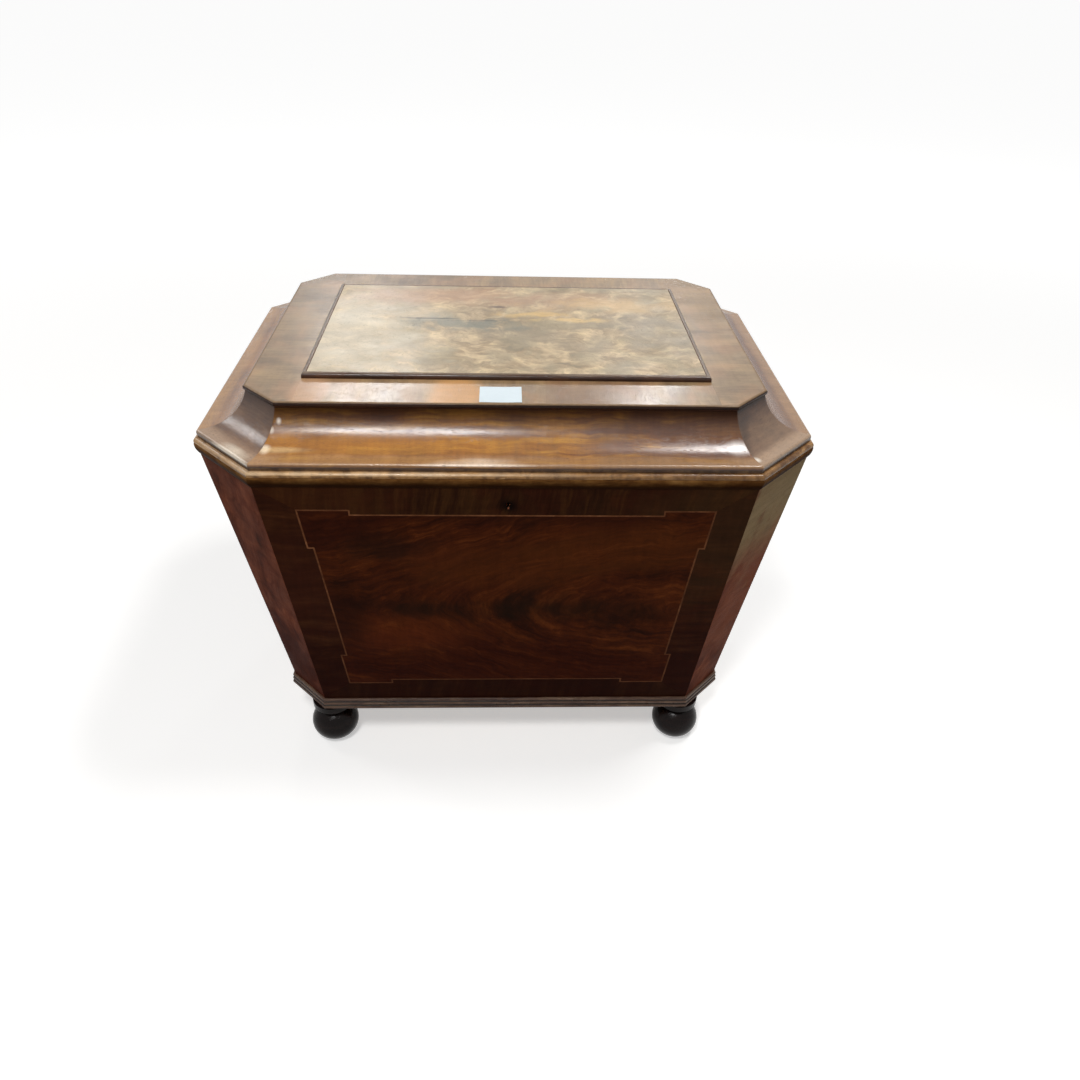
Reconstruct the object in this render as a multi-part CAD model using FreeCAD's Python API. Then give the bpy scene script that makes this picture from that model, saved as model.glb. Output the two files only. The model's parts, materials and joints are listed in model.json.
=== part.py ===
import FreeCAD, Part
import math
import os

# Sarcophagus cellarette: a tapering chest with canted corners on four bun feet, with a coved lid hinged at
# the back, a box lock at the front and a zinc-lined well for bottles.
#
# Sizes are in millimetres. X runs from left to right, Y from front to back and Z upwards. The origin is on
# the floor under the middle of the chest. Each part becomes one file in parts/, named after the part.

# --- Driving sizes: lid rim, the widest part of the chest -------------------------------------------------

rim_width = 710.0
rim_depth = 544.2
rim_cant = 77.1             # leg of the 45 degree cut at each corner
rim_height = 23.1
rim_frame_width = 41.0      # from the widest line of the nosing to the inner edge of the frame
rim_stand = 5.0             # the widest line stands this far outside the lip of the cove
rim_quirk = 1.2             # ledge between the lip of the cove and the nosing
rim_nosing_drop = 10.0      # from the top of the rim down to its widest line
rim_foot_overhang = 1.0     # the lower edge of the nosing stands this far outside the chest's face

# --- Driving sizes: cove and top of the lid ---------------------------------------------------------------

cove_height = 44.0
cove_radius = 51.0
cove_lip = 5.0              # height of the lip at the foot of the cove
cove_land = 6.0             # from the lip's face to the lowest line of the hollow
cove_lip_round = 3.0
cove_shoulder = 24.0        # width of the cove's top, which carries the top board
top_edge_thickness = 6.0
top_edge_round = 2.4
top_edge_under_round = 1.2
top_tongue = 6.0            # the board's underside fits down between the coves by this much
top_overhang = 2.0
top_veneer_margin = 3.0     # solid edge left round the crossbanding
top_border = 61.5           # from the board's edge to the raised panel
panel_rise = 6.2
panel_moulding_width = 6.0
panel_moulding_round = 4.0
panel_quirk_width = 0.8
panel_quirk_depth = 1.0
veneer_thickness = 1.0
ticket_width = 46.8
ticket_depth = 39.1
ticket_thickness = 0.3
ticket_inset = 4.5          # from the board's front edge to the ticket
ticket_offset = -8.7        # middle of the ticket, to the left of the middle of the lid

# --- Driving sizes: tapering chest ------------------------------------------------------------------------

body_height = 367.4
body_setback = 4.5          # from the rim's widest line in to the face of the chest
body_bottom_width = 593.3
body_bottom_depth = 436.2
body_bottom_cant = 49.6
wall_thickness = 20.0
liner_thickness = 1.5
liner_drop = 50.0           # from the top of the chest down to the liner's edge

# --- Driving sizes: stringing and crossbanding of the front -----------------------------------------------

banding_side = 47.0         # from the front's side edge to the middle of the string, level
banding_top = 40.0
banding_bottom = 40.0
ear_length = 57.0           # the string steps outwards round each corner for this length
ear_step = 6.8
string_width = 2.0

# --- Driving sizes: base moulding and bottom --------------------------------------------------------------

base_stand = 4.4            # the moulding stands this far outside the foot of the chest
base_moulding_width = 12.0
reed_heights = (6.2, 6.1, 4.9)   # from the lowest reed upwards
reed_setback = 0.7          # each reed lies this much behind the one under it
reed_swell = 1.6

# --- Driving sizes: bun feet ------------------------------------------------------------------------------

foot_height = 68.0
foot_inset_front = 26.5     # from the moulding's outer face to the foot's axis, front and back
foot_inset_side = 59.0      # the same at the sides
foot_pad_radius = 13.0      # flat under the bun
bun_radius = 32.0
bun_centre_height = 25.0
bun_top_height = 50.0
neck_radius = 17.0
collar_radius = 23.0
collar_bottom_height = 52.0
collar_top_height = 58.0
cap_radius = 27.0
spigot_radius = 9.0
spigot_length = 14.0
spigot_clearance = 0.1

# --- Driving sizes: hinges --------------------------------------------------------------------------------

hinge_length = 60.0
hinge_inset = 60.0          # from the end of the straight back to the hinge
hinge_leaf_width = 17.0     # from the chest's back face in to the leaf's edge
hinge_leaf_thickness = 2.0
knuckle_radius = 3.5
knuckle_count = 5
knuckle_gap = 0.3
knuckle_clearance = 0.4
pin_radius = 1.6
pin_clearance = 0.05
hinge_screw_pitch = 20.0

# --- Driving sizes: screws --------------------------------------------------------------------------------

screw_head_radius = 3.0
screw_shank_radius = 1.5
screw_length = 12.0
screw_clearance = 0.05
screw_slot_width = 0.8
screw_slot_depth = 0.8

# --- Driving sizes: lock and link plate -------------------------------------------------------------------

keyhole_drop = 23.5         # from the top of the chest down to the keyhole's round eye
keyhole_radius = 2.6
keyhole_slot_width = 2.4
keyhole_slot_length = 7.5   # from the middle of the eye to the slot's end
lock_width = 76.0
lock_height = 40.0
lock_cavity_thickness = 10.5
lock_wall = 1.5
lock_side_wall = 2.0
lock_back_plate = 2.0
lock_flange = 8.0           # the back plate and the selvedge pass the case by this much on each side
selvedge_thickness = 2.5
lock_screw_drops = (12.0, 32.0)
key_pocket_half_width = 8.0
key_pin_radius = 1.2
bolt_clearance = 0.2
bolt_travel = 7.0
bolt_rest_gap = 1.0         # from a finger's tip to its staple when the bolt is drawn back
bolt_post_width = 3.0
bolt_post_gap = 0.5         # from a post to its staple when the bolt is thrown
bolt_spine_height = 6.0
bolt_spine_below_staple = 1.2
bolt_tail = 2.0             # the spine runs this far past its first post
bolt_head = 8.0             # and this far past the middle of the last staple
bolt_notch_half_width = 3.0
bolt_notch_depth = 3.0
finger_thickness = 2.6
finger_height = 3.4
staple_spacing = 36.0
staple_thickness = 3.0
staple_width = 7.5
staple_length = 12.0
staple_hole_width = 4.5
staple_hole_height = 5.0
staple_hole_drop = 7.0
staple_tenon_width = 5.0    # each staple is held in the link plate by a tenon as thick as itself
staple_slot_clearance = 0.6
link_plate_length = 68.0
link_plate_width = 12.0
link_plate_thickness = 2.0
link_screw_inset = 6.0

# --- Heights and places that follow from the sizes --------------------------------------------------------

base_height = sum(reed_heights)
base_top = foot_height + base_height
body_top = base_top + body_height            # the lid opens along this plane
rim_top = body_top + rim_height
cove_top = rim_top + cove_height
board_top = cove_top + top_edge_thickness
panel_top = board_top + panel_rise
veneer_floor = board_top - veneer_thickness

rim_lip_setback = rim_stand                  # from the widest line in to the lip of the cove
cove_centre_height = cove_lip + cove_radius
cove_centre_drop = cove_centre_height - cove_height
cove_run = cove_land + math.sqrt(cove_radius ** 2 - cove_centre_drop ** 2)
board_inset = rim_lip_setback + cove_run - top_overhang

hinge_axis_y = rim_depth / 2 - knuckle_radius
cut_margin = 5.0                             # cutting tools pass a surface by this much

# --- Plans: each is a set of straight sides, given by their distance from the middle ----------------------

side_angles = {
    "front": -90.0,
    "front_right": -45.0,
    "right": 0.0,
    "back_right": 45.0,
    "back": 90.0,
    "back_left": 135.0,
    "left": 180.0,
    "front_left": -135.0,
}
straight_sides = ("front", "right", "back", "left")
canted_sides = ("front_right", "back_right", "back_left", "front_left")


def rectangle(width, depth):
    """Plan with four sides."""
    distances = {"front": depth / 2, "right": width / 2, "back": depth / 2, "left": width / 2}
    return distances


def octagon(width, depth, cant):
    """Plan with four sides and four 45 degree cants, each cutting `cant` off both sides it joins."""
    cant_distance = (width / 2 + depth / 2 - cant) / math.sqrt(2)
    straight = rectangle(width, depth)
    return {side: straight.get(side, cant_distance) for side in side_angles}


def grown(plan, distance):
    """The plan with every side moved outwards."""
    return {side: value + distance for side, value in plan.items()}


def outward(side):
    """Unit vector pointing out of a side."""
    angle = math.radians(side_angles[side])
    return FreeCAD.Vector(math.cos(angle), math.sin(angle), 0)


def corner(plan, side, step, height=0.0):
    """Where a side meets the one before it (step -1) or after it (step 1)."""
    names = list(plan)
    other = names[(names.index(side) + step) % len(names)]
    first = outward(side)
    second = outward(other)
    spread = first.x * second.y - first.y * second.x
    x = (plan[side] * second.y - plan[other] * first.y) / spread
    y = (plan[other] * first.x - plan[side] * second.x) / spread
    return FreeCAD.Vector(x, y, height)


def corners(plan, height):
    """All corners of a plan, in order."""
    return [corner(plan, side, 1, height) for side in plan]


# --- Solids -----------------------------------------------------------------------------------------------

def polygon_face(points):
    """Flat face with straight edges."""
    return Part.Face(Part.makePolygon(list(points) + [points[0]]))


def frustum(lower, upper):
    """Solid between two polygons with as many points each, in anticlockwise order seen from above."""
    faces = [polygon_face(list(reversed(lower))), polygon_face(upper)]
    for index in range(len(lower)):
        after = (index + 1) % len(lower)
        faces.append(polygon_face([lower[index], lower[after], upper[after], upper[index]]))
    return Part.Solid(Part.Shell(faces))


def prism(plan, low, high):
    """Upright solid on a plan."""
    return frustum(corners(plan, low), corners(plan, high))


def block(x_range, y_range, z_range):
    """Box between pairs of coordinates."""
    size = [high - low for low, high in (x_range, y_range, z_range)]
    return Part.makeBox(*size, FreeCAD.Vector(x_range[0], y_range[0], z_range[0]))


def rod(radius, start, end):
    """Cylinder from one point to another."""
    direction = end - start
    return Part.makeCylinder(radius, direction.Length, start, direction)


def fused(shapes):
    """One solid from several that meet."""
    return shapes[0].multiFuse(shapes[1:]).removeSplitter()


def arc_middle(centre, start, end):
    """Point halfway along the shorter arc between two points round a centre."""
    radius = math.hypot(start[0] - centre[0], start[1] - centre[1])
    x = (start[0] + end[0]) / 2 - centre[0]
    z = (start[1] + end[1]) / 2 - centre[1]
    length = math.hypot(x, z)
    return (centre[0] + x * radius / length, centre[1] + z * radius / length)


def round_to_widest(start, widest):
    """Arc that ends upright at the widest point of a moulding, as (middle, end)."""
    across = widest[0] - start[0]
    rise = start[1] - widest[1]
    radius = (across ** 2 + rise ** 2) / (2 * across)
    centre = (widest[0] - radius, widest[1])
    return arc_middle(centre, start, widest), widest


def round_from_widest(widest, end):
    """Arc that leaves the widest point of a moulding upright, as (middle, end)."""
    middle = round_to_widest(end, widest)[0]
    return middle, end


def profile_face(start, *steps):
    """Face in the XZ plane. A step is a point, for a straight edge, or a pair (middle, end), for an arc."""
    edges = []
    here = FreeCAD.Vector(start[0], 0, start[1])
    for step in list(steps) + [start]:
        if isinstance(step[0], tuple):
            middle, end = (FreeCAD.Vector(x, 0, z) for x, z in step)
            edges.append(Part.Arc(here, middle, end).toShape())
        else:
            end = FreeCAD.Vector(step[0], 0, step[1])
            edges.append(Part.LineSegment(here, end).toShape())
        here = end
    return Part.Face(Part.Wire(edges))


def mitred_length(face, plan, side):
    """Moulding along one side of a plan, cut to the mitres at its two ends.

    The face lies in the XZ plane, with X outwards from the side's line and Z as the real height.
    """
    box = face.BoundBox
    inner = grown(plan, box.XMin - cut_margin)
    outer = grown(plan, box.XMax + cut_margin)
    lower = [
        corner(inner, side, -1, box.ZMin - cut_margin),
        corner(outer, side, -1, box.ZMin - cut_margin),
        corner(outer, side, 1, box.ZMin - cut_margin),
        corner(inner, side, 1, box.ZMin - cut_margin),
    ]
    rise = FreeCAD.Vector(0, 0, box.ZLength + 2 * cut_margin)
    wedge = frustum(lower, [point + rise for point in lower])
    half_length = (outer["front"] + outer["right"]) * 2
    bar = face.copy()
    bar.translate(FreeCAD.Vector(0, -half_length, 0))
    bar = bar.extrude(FreeCAD.Vector(0, 2 * half_length, 0))
    bar.rotate(FreeCAD.Vector(), FreeCAD.Vector(0, 0, 1), side_angles[side])
    bar.translate(outward(side) * plan[side])
    return bar.common(wedge).Solids[0]


def screw_profile(extra):
    """Half section of a countersunk screw, pointing down, with its head's top at height 0."""
    head = screw_head_radius + extra
    shank = screw_shank_radius + extra
    cone_end = -(screw_head_radius - screw_shank_radius)
    tip = -screw_length - extra
    return [(0, 0), (head, 0), (shank, cone_end), (shank, tip + shank), (0, tip)]


def screw_solid(extra=0.0):
    """Countersunk screw, or the hole that it leaves when it has an extra clearance."""
    points = screw_profile(extra)
    return profile_face(points[0], *points[1:]).revolve(FreeCAD.Vector(), FreeCAD.Vector(0, 0, 1), 360)


def screw():
    """Countersunk screw with a slotted head."""
    slot = block(
        (-screw_head_radius - 1, screw_head_radius + 1),
        (-screw_slot_width / 2, screw_slot_width / 2),
        (-screw_slot_depth, 1),
    )
    return screw_solid().cut(slot)


def screws_at(placements):
    """One screw at each placement."""
    return [placed(screw(), placement) for placement in placements]


def without_screws(shape, placements):
    """The shape with a clearance hole for a screw at each placement."""
    for placement in placements:
        shape = shape.cut(placed(screw_solid(screw_clearance), placement))
    return shape


def placed(shape, placement):
    """A copy of a shape, moved."""
    copy = shape.copy()
    copy.Placement = placement.multiply(copy.Placement)
    return copy


def move(x, y, z, turn=0.0):
    """Placement at a point, turned about X by an angle in degrees."""
    rotation = FreeCAD.Rotation(FreeCAD.Vector(1, 0, 0), turn)
    return FreeCAD.Placement(FreeCAD.Vector(x, y, z), rotation)


# --- Plans of the chest and the lid -----------------------------------------------------------------------

rim_plan = octagon(rim_width, rim_depth, rim_cant)
lip_plan = grown(rim_plan, -rim_lip_setback)
board_plan = grown(rim_plan, -board_inset)
veneer_plan = grown(board_plan, -top_veneer_margin)
panel_plan = rectangle(2 * (board_plan["right"] - top_border), 2 * (board_plan["front"] - top_border))
body_top_plan = grown(rim_plan, -body_setback)
body_bottom_plan = octagon(body_bottom_width, body_bottom_depth, body_bottom_cant)
base_plan = grown(body_bottom_plan, base_stand)


def wall_slope(side):
    """Angle by which a wall leans out, in radians."""
    return math.atan2(body_top_plan[side] - body_bottom_plan[side], body_height)


def body_plan(height, depth):
    """Plan of the chest at a height, at a depth measured square into each wall."""
    share = (height - base_top) / body_height
    plan = {}
    for side in body_top_plan:
        face = body_bottom_plan[side] + (body_top_plan[side] - body_bottom_plan[side]) * share
        plan[side] = face - depth / math.cos(wall_slope(side))
    return plan


def wall(side, outer_depth, inner_depth):
    """One leaning wall of the chest between two depths, mitred against its neighbours."""
    levels = []
    for height in (base_top, body_top):
        outer = body_plan(height, outer_depth)
        inner = body_plan(height, inner_depth)
        levels.append([
            corner(inner, side, -1, height),
            corner(outer, side, -1, height),
            corner(outer, side, 1, height),
            corner(inner, side, 1, height),
        ])
    return frustum(levels[0], levels[1])


# The front's own frame: X along the front, Y square into it, Z up its slope, from the middle of its top edge.
front_slope = wall_slope("front")
front_frame = move(0, -body_top_plan["front"], body_top, math.degrees(front_slope))
front_slope_length = body_height / math.cos(front_slope)

# The lock's frame is parallel to it, from the top plane of the chest at the middle of the lock's thickness.
lock_depth = wall_thickness - lock_back_plate - lock_cavity_thickness / 2
lock_frame_y = -body_top_plan["front"] + lock_depth / math.cos(front_slope)
lock_frame = move(0, lock_frame_y, body_top, math.degrees(front_slope))


# --- Front veneers ----------------------------------------------------------------------------------------

def front_half_width(drop):
    """Half the width of the front at a distance down its slope."""
    top = corner(body_top_plan, "front", 1).x
    bottom = corner(body_bottom_plan, "front", 1).x
    return top + (bottom - top) * drop / front_slope_length


def string_line(offset):
    """Closed line of the string with its ears, moved outwards, as (x, z) points on the front."""
    inner_top = banding_top - offset
    inner_bottom = front_slope_length - banding_bottom + offset
    ear_top = inner_top - ear_step
    ear_bottom = inner_bottom + ear_step

    def side_x(drop, step):
        return front_half_width(drop) - banding_side + step + offset

    top_jog = side_x(inner_top, ear_step) - ear_length - 2 * offset
    bottom_jog = side_x(inner_bottom, ear_step) - ear_length - 2 * offset
    upper_jog = ear_top + ear_length + 2 * offset
    lower_jog = ear_bottom - ear_length - 2 * offset
    right = [
        (top_jog, inner_top),
        (top_jog, ear_top),
        (side_x(ear_top, ear_step), ear_top),
        (side_x(upper_jog, ear_step), upper_jog),
        (side_x(upper_jog, 0), upper_jog),
        (side_x(lower_jog, 0), lower_jog),
        (side_x(lower_jog, ear_step), lower_jog),
        (side_x(ear_bottom, ear_step), ear_bottom),
        (bottom_jog, ear_bottom),
        (bottom_jog, inner_bottom),
    ]
    left = [(-x, drop) for x, drop in reversed(right)]
    return [(x, -drop) for x, drop in right + left]


def front_panel(points):
    """Prism on the front's own plane that passes right through its veneer."""
    face = polygon_face([FreeCAD.Vector(x, -cut_margin, z) for x, z in points])
    solid = face.extrude(FreeCAD.Vector(0, veneer_thickness + 2 * cut_margin, 0))
    return placed(solid, front_frame)


def beyond(corner_point, from_point):
    """Point on the line from one point through another, well past it."""
    stretch = 2.0
    return tuple(a + (a - b) * stretch for a, b in zip(corner_point, from_point))


def keyhole():
    """Tool that cuts the keyhole through the front into the lock."""
    depth = lock_depth
    eye = rod(
        keyhole_radius,
        FreeCAD.Vector(0, -cut_margin, -keyhole_drop),
        FreeCAD.Vector(0, depth, -keyhole_drop),
    )
    slot = block(
        (-keyhole_slot_width / 2, keyhole_slot_width / 2),
        (-cut_margin, depth),
        (-keyhole_drop - keyhole_slot_length, -keyhole_drop),
    )
    return placed(fused([eye, slot]), front_frame)


def make_front_veneers(nodes):
    """Flame veneer, stringing and crossbanding, which make up the veneer of the front."""
    sheet = wall("front", 0, veneer_thickness)
    inner_line = front_panel(string_line(-string_width / 2))
    outer_line = front_panel(string_line(string_width / 2))
    nodes["front_flame_veneer"] = sheet.common(inner_line)
    nodes["front_stringing"] = sheet.common(outer_line).cut(inner_line)

    # The strips meet along lines from the outer corners of the ears to the corners of the front.
    ears = string_line(string_width / 2)
    ear_points = [ears[2], ears[7]]
    face_points = [(front_half_width(0), 0), (front_half_width(front_slope_length), -front_slope_length)]
    ear_points += [(-x, z) for x, z in reversed(ear_points)]
    face_points += [(-x, z) for x, z in reversed(face_points)]
    middle = (0, -front_slope_length / 2)
    band = sheet.cut(outer_line)
    strips = []
    for index in range(len(ear_points)):
        after = (index + 1) % len(ear_points)
        region = [
            middle,
            ear_points[index],
            beyond(face_points[index], ear_points[index]),
            beyond(face_points[after], ear_points[after]),
            ear_points[after],
        ]
        strips.append(band.common(front_panel(region)).cut(keyhole()))
    nodes["front_crossbanding"] = Part.makeCompound([strip.Solids[0] for strip in strips])


# --- Lock -------------------------------------------------------------------------------------------------

staple_centres = (-staple_spacing / 2, staple_spacing / 2)
staple_y = lock_frame_y + staple_hole_drop * math.tan(front_slope)
staple_hole_height_in_lock = -staple_hole_drop / math.cos(front_slope)
spine_top = -(staple_length + bolt_spine_below_staple)
spine_bottom = spine_top - bolt_spine_height
lock_floor = spine_bottom - bolt_clearance
half_cavity = lock_cavity_thickness / 2
lock_screw_x = (lock_width + lock_flange) / 2

lock_screw_places = []
for screw_drop in lock_screw_drops:
    for screw_x in (-lock_screw_x, lock_screw_x):
        spot = move(screw_x, half_cavity + lock_back_plate, -screw_drop, -90)
        lock_screw_places.append(lock_frame.multiply(spot))


def below_selvedge(shape):
    """The part of a shape that lies under the lock's top plate."""
    reach = rim_width
    sky = block((-reach, reach), (-reach, reach), (body_top - selvedge_thickness, body_top + reach))
    return shape.cut(sky)


def selvedge():
    """Top plate of the lock, flush with the top of the chest."""
    front_depth = lock_depth - half_cavity - lock_wall
    y_range = [
        -body_top_plan["front"] + depth / math.cos(front_slope)
        for depth in (front_depth, wall_thickness)
    ]
    half_length = lock_width / 2 + lock_flange
    return block((-half_length, half_length), y_range, (body_top - selvedge_thickness, body_top))


def lock_envelope():
    """Solid outline of the lock, which is also the shape of its recess in the front board."""
    case = block(
        (-lock_width / 2, lock_width / 2),
        (-half_cavity - lock_wall, half_cavity),
        (-lock_height, cut_margin),
    )
    plate = block(
        (-lock_width / 2 - lock_flange, lock_width / 2 + lock_flange),
        (half_cavity, half_cavity + lock_back_plate),
        (-lock_height, cut_margin),
    )
    return fused([below_selvedge(placed(fused([case, plate]), lock_frame)), selvedge()])


def staple_slots():
    """Slots in the selvedge that let the staples in."""
    slots = []
    for centre in staple_centres:
        half_x = staple_thickness / 2 + staple_slot_clearance
        half_y = staple_width / 2 + staple_slot_clearance
        slots.append(block(
            (centre - half_x, centre + half_x),
            (staple_y - half_y, staple_y + half_y),
            (body_top - selvedge_thickness - 1, body_top + 1),
        ))
    return slots


def lock_case():
    """Brass case with its back plate and selvedge, hollow for the bolt and the key."""
    cavity = block(
        (-lock_width / 2 + lock_side_wall, lock_width / 2 - lock_side_wall),
        (-half_cavity, half_cavity),
        (lock_floor, cut_margin),
    )
    pocket = block(
        (-key_pocket_half_width, key_pocket_half_width),
        (-half_cavity, half_cavity),
        (-lock_height + lock_side_wall, lock_floor + 1),
    )
    hollow = below_selvedge(placed(fused([cavity, pocket]), lock_frame))
    case = lock_envelope().cut([hollow, keyhole()] + staple_slots())
    pin_height = -keyhole_drop + lock_depth * math.tan(front_slope)
    pin = rod(
        key_pin_radius,
        FreeCAD.Vector(0, -half_cavity, pin_height),
        FreeCAD.Vector(0, half_cavity + lock_back_plate / 2, pin_height),
    )
    return without_screws(fused([case, placed(pin, lock_frame)]), lock_screw_places)


def lock_bolt():
    """Sliding bolt: a spine under the staples, with a finger for each that points to the right."""
    pieces = []
    post_lefts = []
    for centre in staple_centres:
        near_face = centre - staple_thickness / 2
        tip = near_face - bolt_rest_gap
        root = near_face - bolt_travel - bolt_post_gap
        finger_range = (
            staple_hole_height_in_lock - finger_height / 2,
            staple_hole_height_in_lock + finger_height / 2,
        )
        thickness = (-finger_thickness / 2, finger_thickness / 2)
        pieces.append(block((root - bolt_post_width, tip), thickness, finger_range))
        pieces.append(block((root - bolt_post_width, root), thickness, (spine_top - 1, finger_range[1])))
        post_lefts.append(root - bolt_post_width)
    half_spine = half_cavity - bolt_clearance
    spine = block(
        (post_lefts[0] - bolt_tail, staple_centres[-1] + bolt_head),
        (-half_spine, half_spine),
        (spine_bottom, spine_top),
    )
    notch = block(
        (-bolt_notch_half_width, bolt_notch_half_width),
        (-half_spine - 1, half_spine + 1),
        (spine_bottom - 1, spine_bottom + bolt_notch_depth),
    )
    return placed(fused([spine.cut(notch)] + pieces), lock_frame)


link_screw_x = link_plate_length / 2 - link_screw_inset
link_screw_places = [move(x, staple_y, body_top, 180) for x in (-link_screw_x, link_screw_x)]


def link_plate_blank():
    """Plate let into the underside of the rim."""
    return block(
        (-link_plate_length / 2, link_plate_length / 2),
        (staple_y - link_plate_width / 2, staple_y + link_plate_width / 2),
        (body_top, body_top + link_plate_thickness),
    )


def staple_tenons():
    """Tenons of the staples, which are also the shape of their mortises in the link plate."""
    return [
        block(
            (centre - staple_thickness / 2, centre + staple_thickness / 2),
            (staple_y - staple_tenon_width / 2, staple_y + staple_tenon_width / 2),
            (body_top, body_top + link_plate_thickness),
        )
        for centre in staple_centres
    ]


def link_plate():
    """Plate under the rim, with a mortise for each staple."""
    return without_screws(link_plate_blank().cut(staple_tenons()), link_screw_places)


def link_staples():
    """Pierced staples that drop into the lock, each with its tenon in the link plate."""
    staples = []
    for centre, tenon in zip(staple_centres, staple_tenons()):
        x_range = (centre - staple_thickness / 2, centre + staple_thickness / 2)
        leg = block(
            x_range,
            (staple_y - staple_width / 2, staple_y + staple_width / 2),
            (body_top - staple_length, body_top),
        )
        eye = block(
            (x_range[0] - 1, x_range[1] + 1),
            (staple_y - staple_hole_width / 2, staple_y + staple_hole_width / 2),
            (
                body_top - staple_hole_drop - staple_hole_height / 2,
                body_top - staple_hole_drop + staple_hole_height / 2,
            ),
        )
        staples.append(fused([leg, tenon]).cut(eye))
    return staples


def make_lock(nodes):
    """Box lock in the front board, and its link plate with two staples under the lid."""
    nodes["lock_case"] = lock_case()
    nodes["lock_bolt"] = lock_bolt()
    nodes["lock_screws"] = Part.makeCompound(screws_at(lock_screw_places))
    nodes["link_plate"] = link_plate()
    nodes["link_staples"] = Part.makeCompound(link_staples())
    nodes["link_plate_screws"] = Part.makeCompound(screws_at(link_screw_places))


# --- Hinges -----------------------------------------------------------------------------------------------

hinge_x = corner(body_top_plan, "back", -1).x - hinge_inset - hinge_length / 2
hinge_centres = {"left": -hinge_x, "right": hinge_x}
leaf_inner_y = body_top_plan["back"] - hinge_leaf_width
leaf_outer_y = hinge_axis_y - knuckle_radius - knuckle_clearance
leaf_screw_y = (leaf_inner_y + body_top_plan["back"]) / 2


def leaf_heights(on_lid):
    """Lower and upper face of a leaf."""
    if on_lid:
        return body_top, body_top + hinge_leaf_thickness
    return body_top - hinge_leaf_thickness, body_top


def leaf_screw_places(centre, on_lid):
    """Where the screws of one leaf go."""
    turn = 180 if on_lid else 0
    return [move(centre + shift, leaf_screw_y, body_top, turn)
            for shift in (-hinge_screw_pitch, 0, hinge_screw_pitch)]


def leaf_recess(centre, on_lid):
    """Shallow recess for a leaf, open at the back."""
    x_range = (centre - hinge_length / 2, centre + hinge_length / 2)
    return block(x_range, (leaf_inner_y, hinge_axis_y), leaf_heights(on_lid))


def knuckle_notch(centre):
    """Round notch in the rim and the back board that clears the knuckles."""
    reach = hinge_length / 2 + knuckle_clearance
    return rod(
        knuckle_radius + knuckle_clearance,
        FreeCAD.Vector(centre - reach, hinge_axis_y, body_top),
        FreeCAD.Vector(centre + reach, hinge_axis_y, body_top),
    )


def hinge_leaf(centre, on_lid):
    """Leaf with its own knuckles: the odd ones on the chest, the even ones on the lid."""
    start = centre - hinge_length / 2
    heights = leaf_heights(on_lid)
    knuckle_pitch = hinge_length / knuckle_count
    pieces = [block((start, start + hinge_length), (leaf_inner_y, leaf_outer_y), heights)]
    for index in range(knuckle_count):
        if (index % 2 == 1) != on_lid:
            continue
        low = start + index * knuckle_pitch + (knuckle_gap / 2 if index > 0 else 0)
        last = index == knuckle_count - 1
        high = start + (index + 1) * knuckle_pitch - (0 if last else knuckle_gap / 2)
        pieces.append(block((low, high), (leaf_outer_y - 1, hinge_axis_y), heights))
        pieces.append(rod(
            knuckle_radius,
            FreeCAD.Vector(low, hinge_axis_y, body_top),
            FreeCAD.Vector(high, hinge_axis_y, body_top),
        ))
    bore = rod(
        pin_radius + pin_clearance,
        FreeCAD.Vector(start - 1, hinge_axis_y, body_top),
        FreeCAD.Vector(start + hinge_length + 1, hinge_axis_y, body_top),
    )
    return without_screws(fused(pieces).cut(bore), leaf_screw_places(centre, on_lid))


def hinge_pin(centre):
    """Pin through all the knuckles of a hinge."""
    return rod(
        pin_radius,
        FreeCAD.Vector(centre - hinge_length / 2, hinge_axis_y, body_top),
        FreeCAD.Vector(centre + hinge_length / 2, hinge_axis_y, body_top),
    )


def make_hinges(nodes):
    """Two brass butt hinges between the back board and the rim."""
    for body_name, on_lid in (("carcase", False), ("lid", True)):
        all_screws = []
        for hand, centre in hinge_centres.items():
            nodes[f"hinge_leaf_{body_name}_{hand}"] = hinge_leaf(centre, on_lid)
            all_screws += screws_at(leaf_screw_places(centre, on_lid))
        nodes[f"hinge_screws_{body_name}"] = Part.makeCompound(all_screws)
    for hand, centre in hinge_centres.items():
        nodes[f"hinge_pin_{hand}"] = hinge_pin(centre)


# --- Chest ------------------------------------------------------------------------------------------------

def make_walls(nodes):
    """Four boards and four canted corner posts, mitred together."""
    front = wall("front", veneer_thickness, wall_thickness)
    front = front.cut([lock_envelope(), keyhole()])
    nodes["front_board"] = without_screws(front, lock_screw_places)
    back = wall("back", 0, wall_thickness)
    for centre in hinge_centres.values():
        back = back.cut([leaf_recess(centre, False), knuckle_notch(centre)])
        back = without_screws(back, leaf_screw_places(centre, False))
    nodes["back_board"] = back.Solids[0]
    for side in ("left", "right"):
        nodes[f"{side}_board"] = wall(side, 0, wall_thickness)
    for side in canted_sides:
        nodes[f"corner_post_{side}"] = wall(side, 0, wall_thickness)


def foot_axes():
    """Plan position of each foot's axis, by name."""
    x = base_plan["right"] - foot_inset_side
    y = base_plan["front"] - foot_inset_front
    return {"front_left": (-x, -y), "front_right": (x, -y), "back_left": (-x, y), "back_right": (x, y)}


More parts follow.
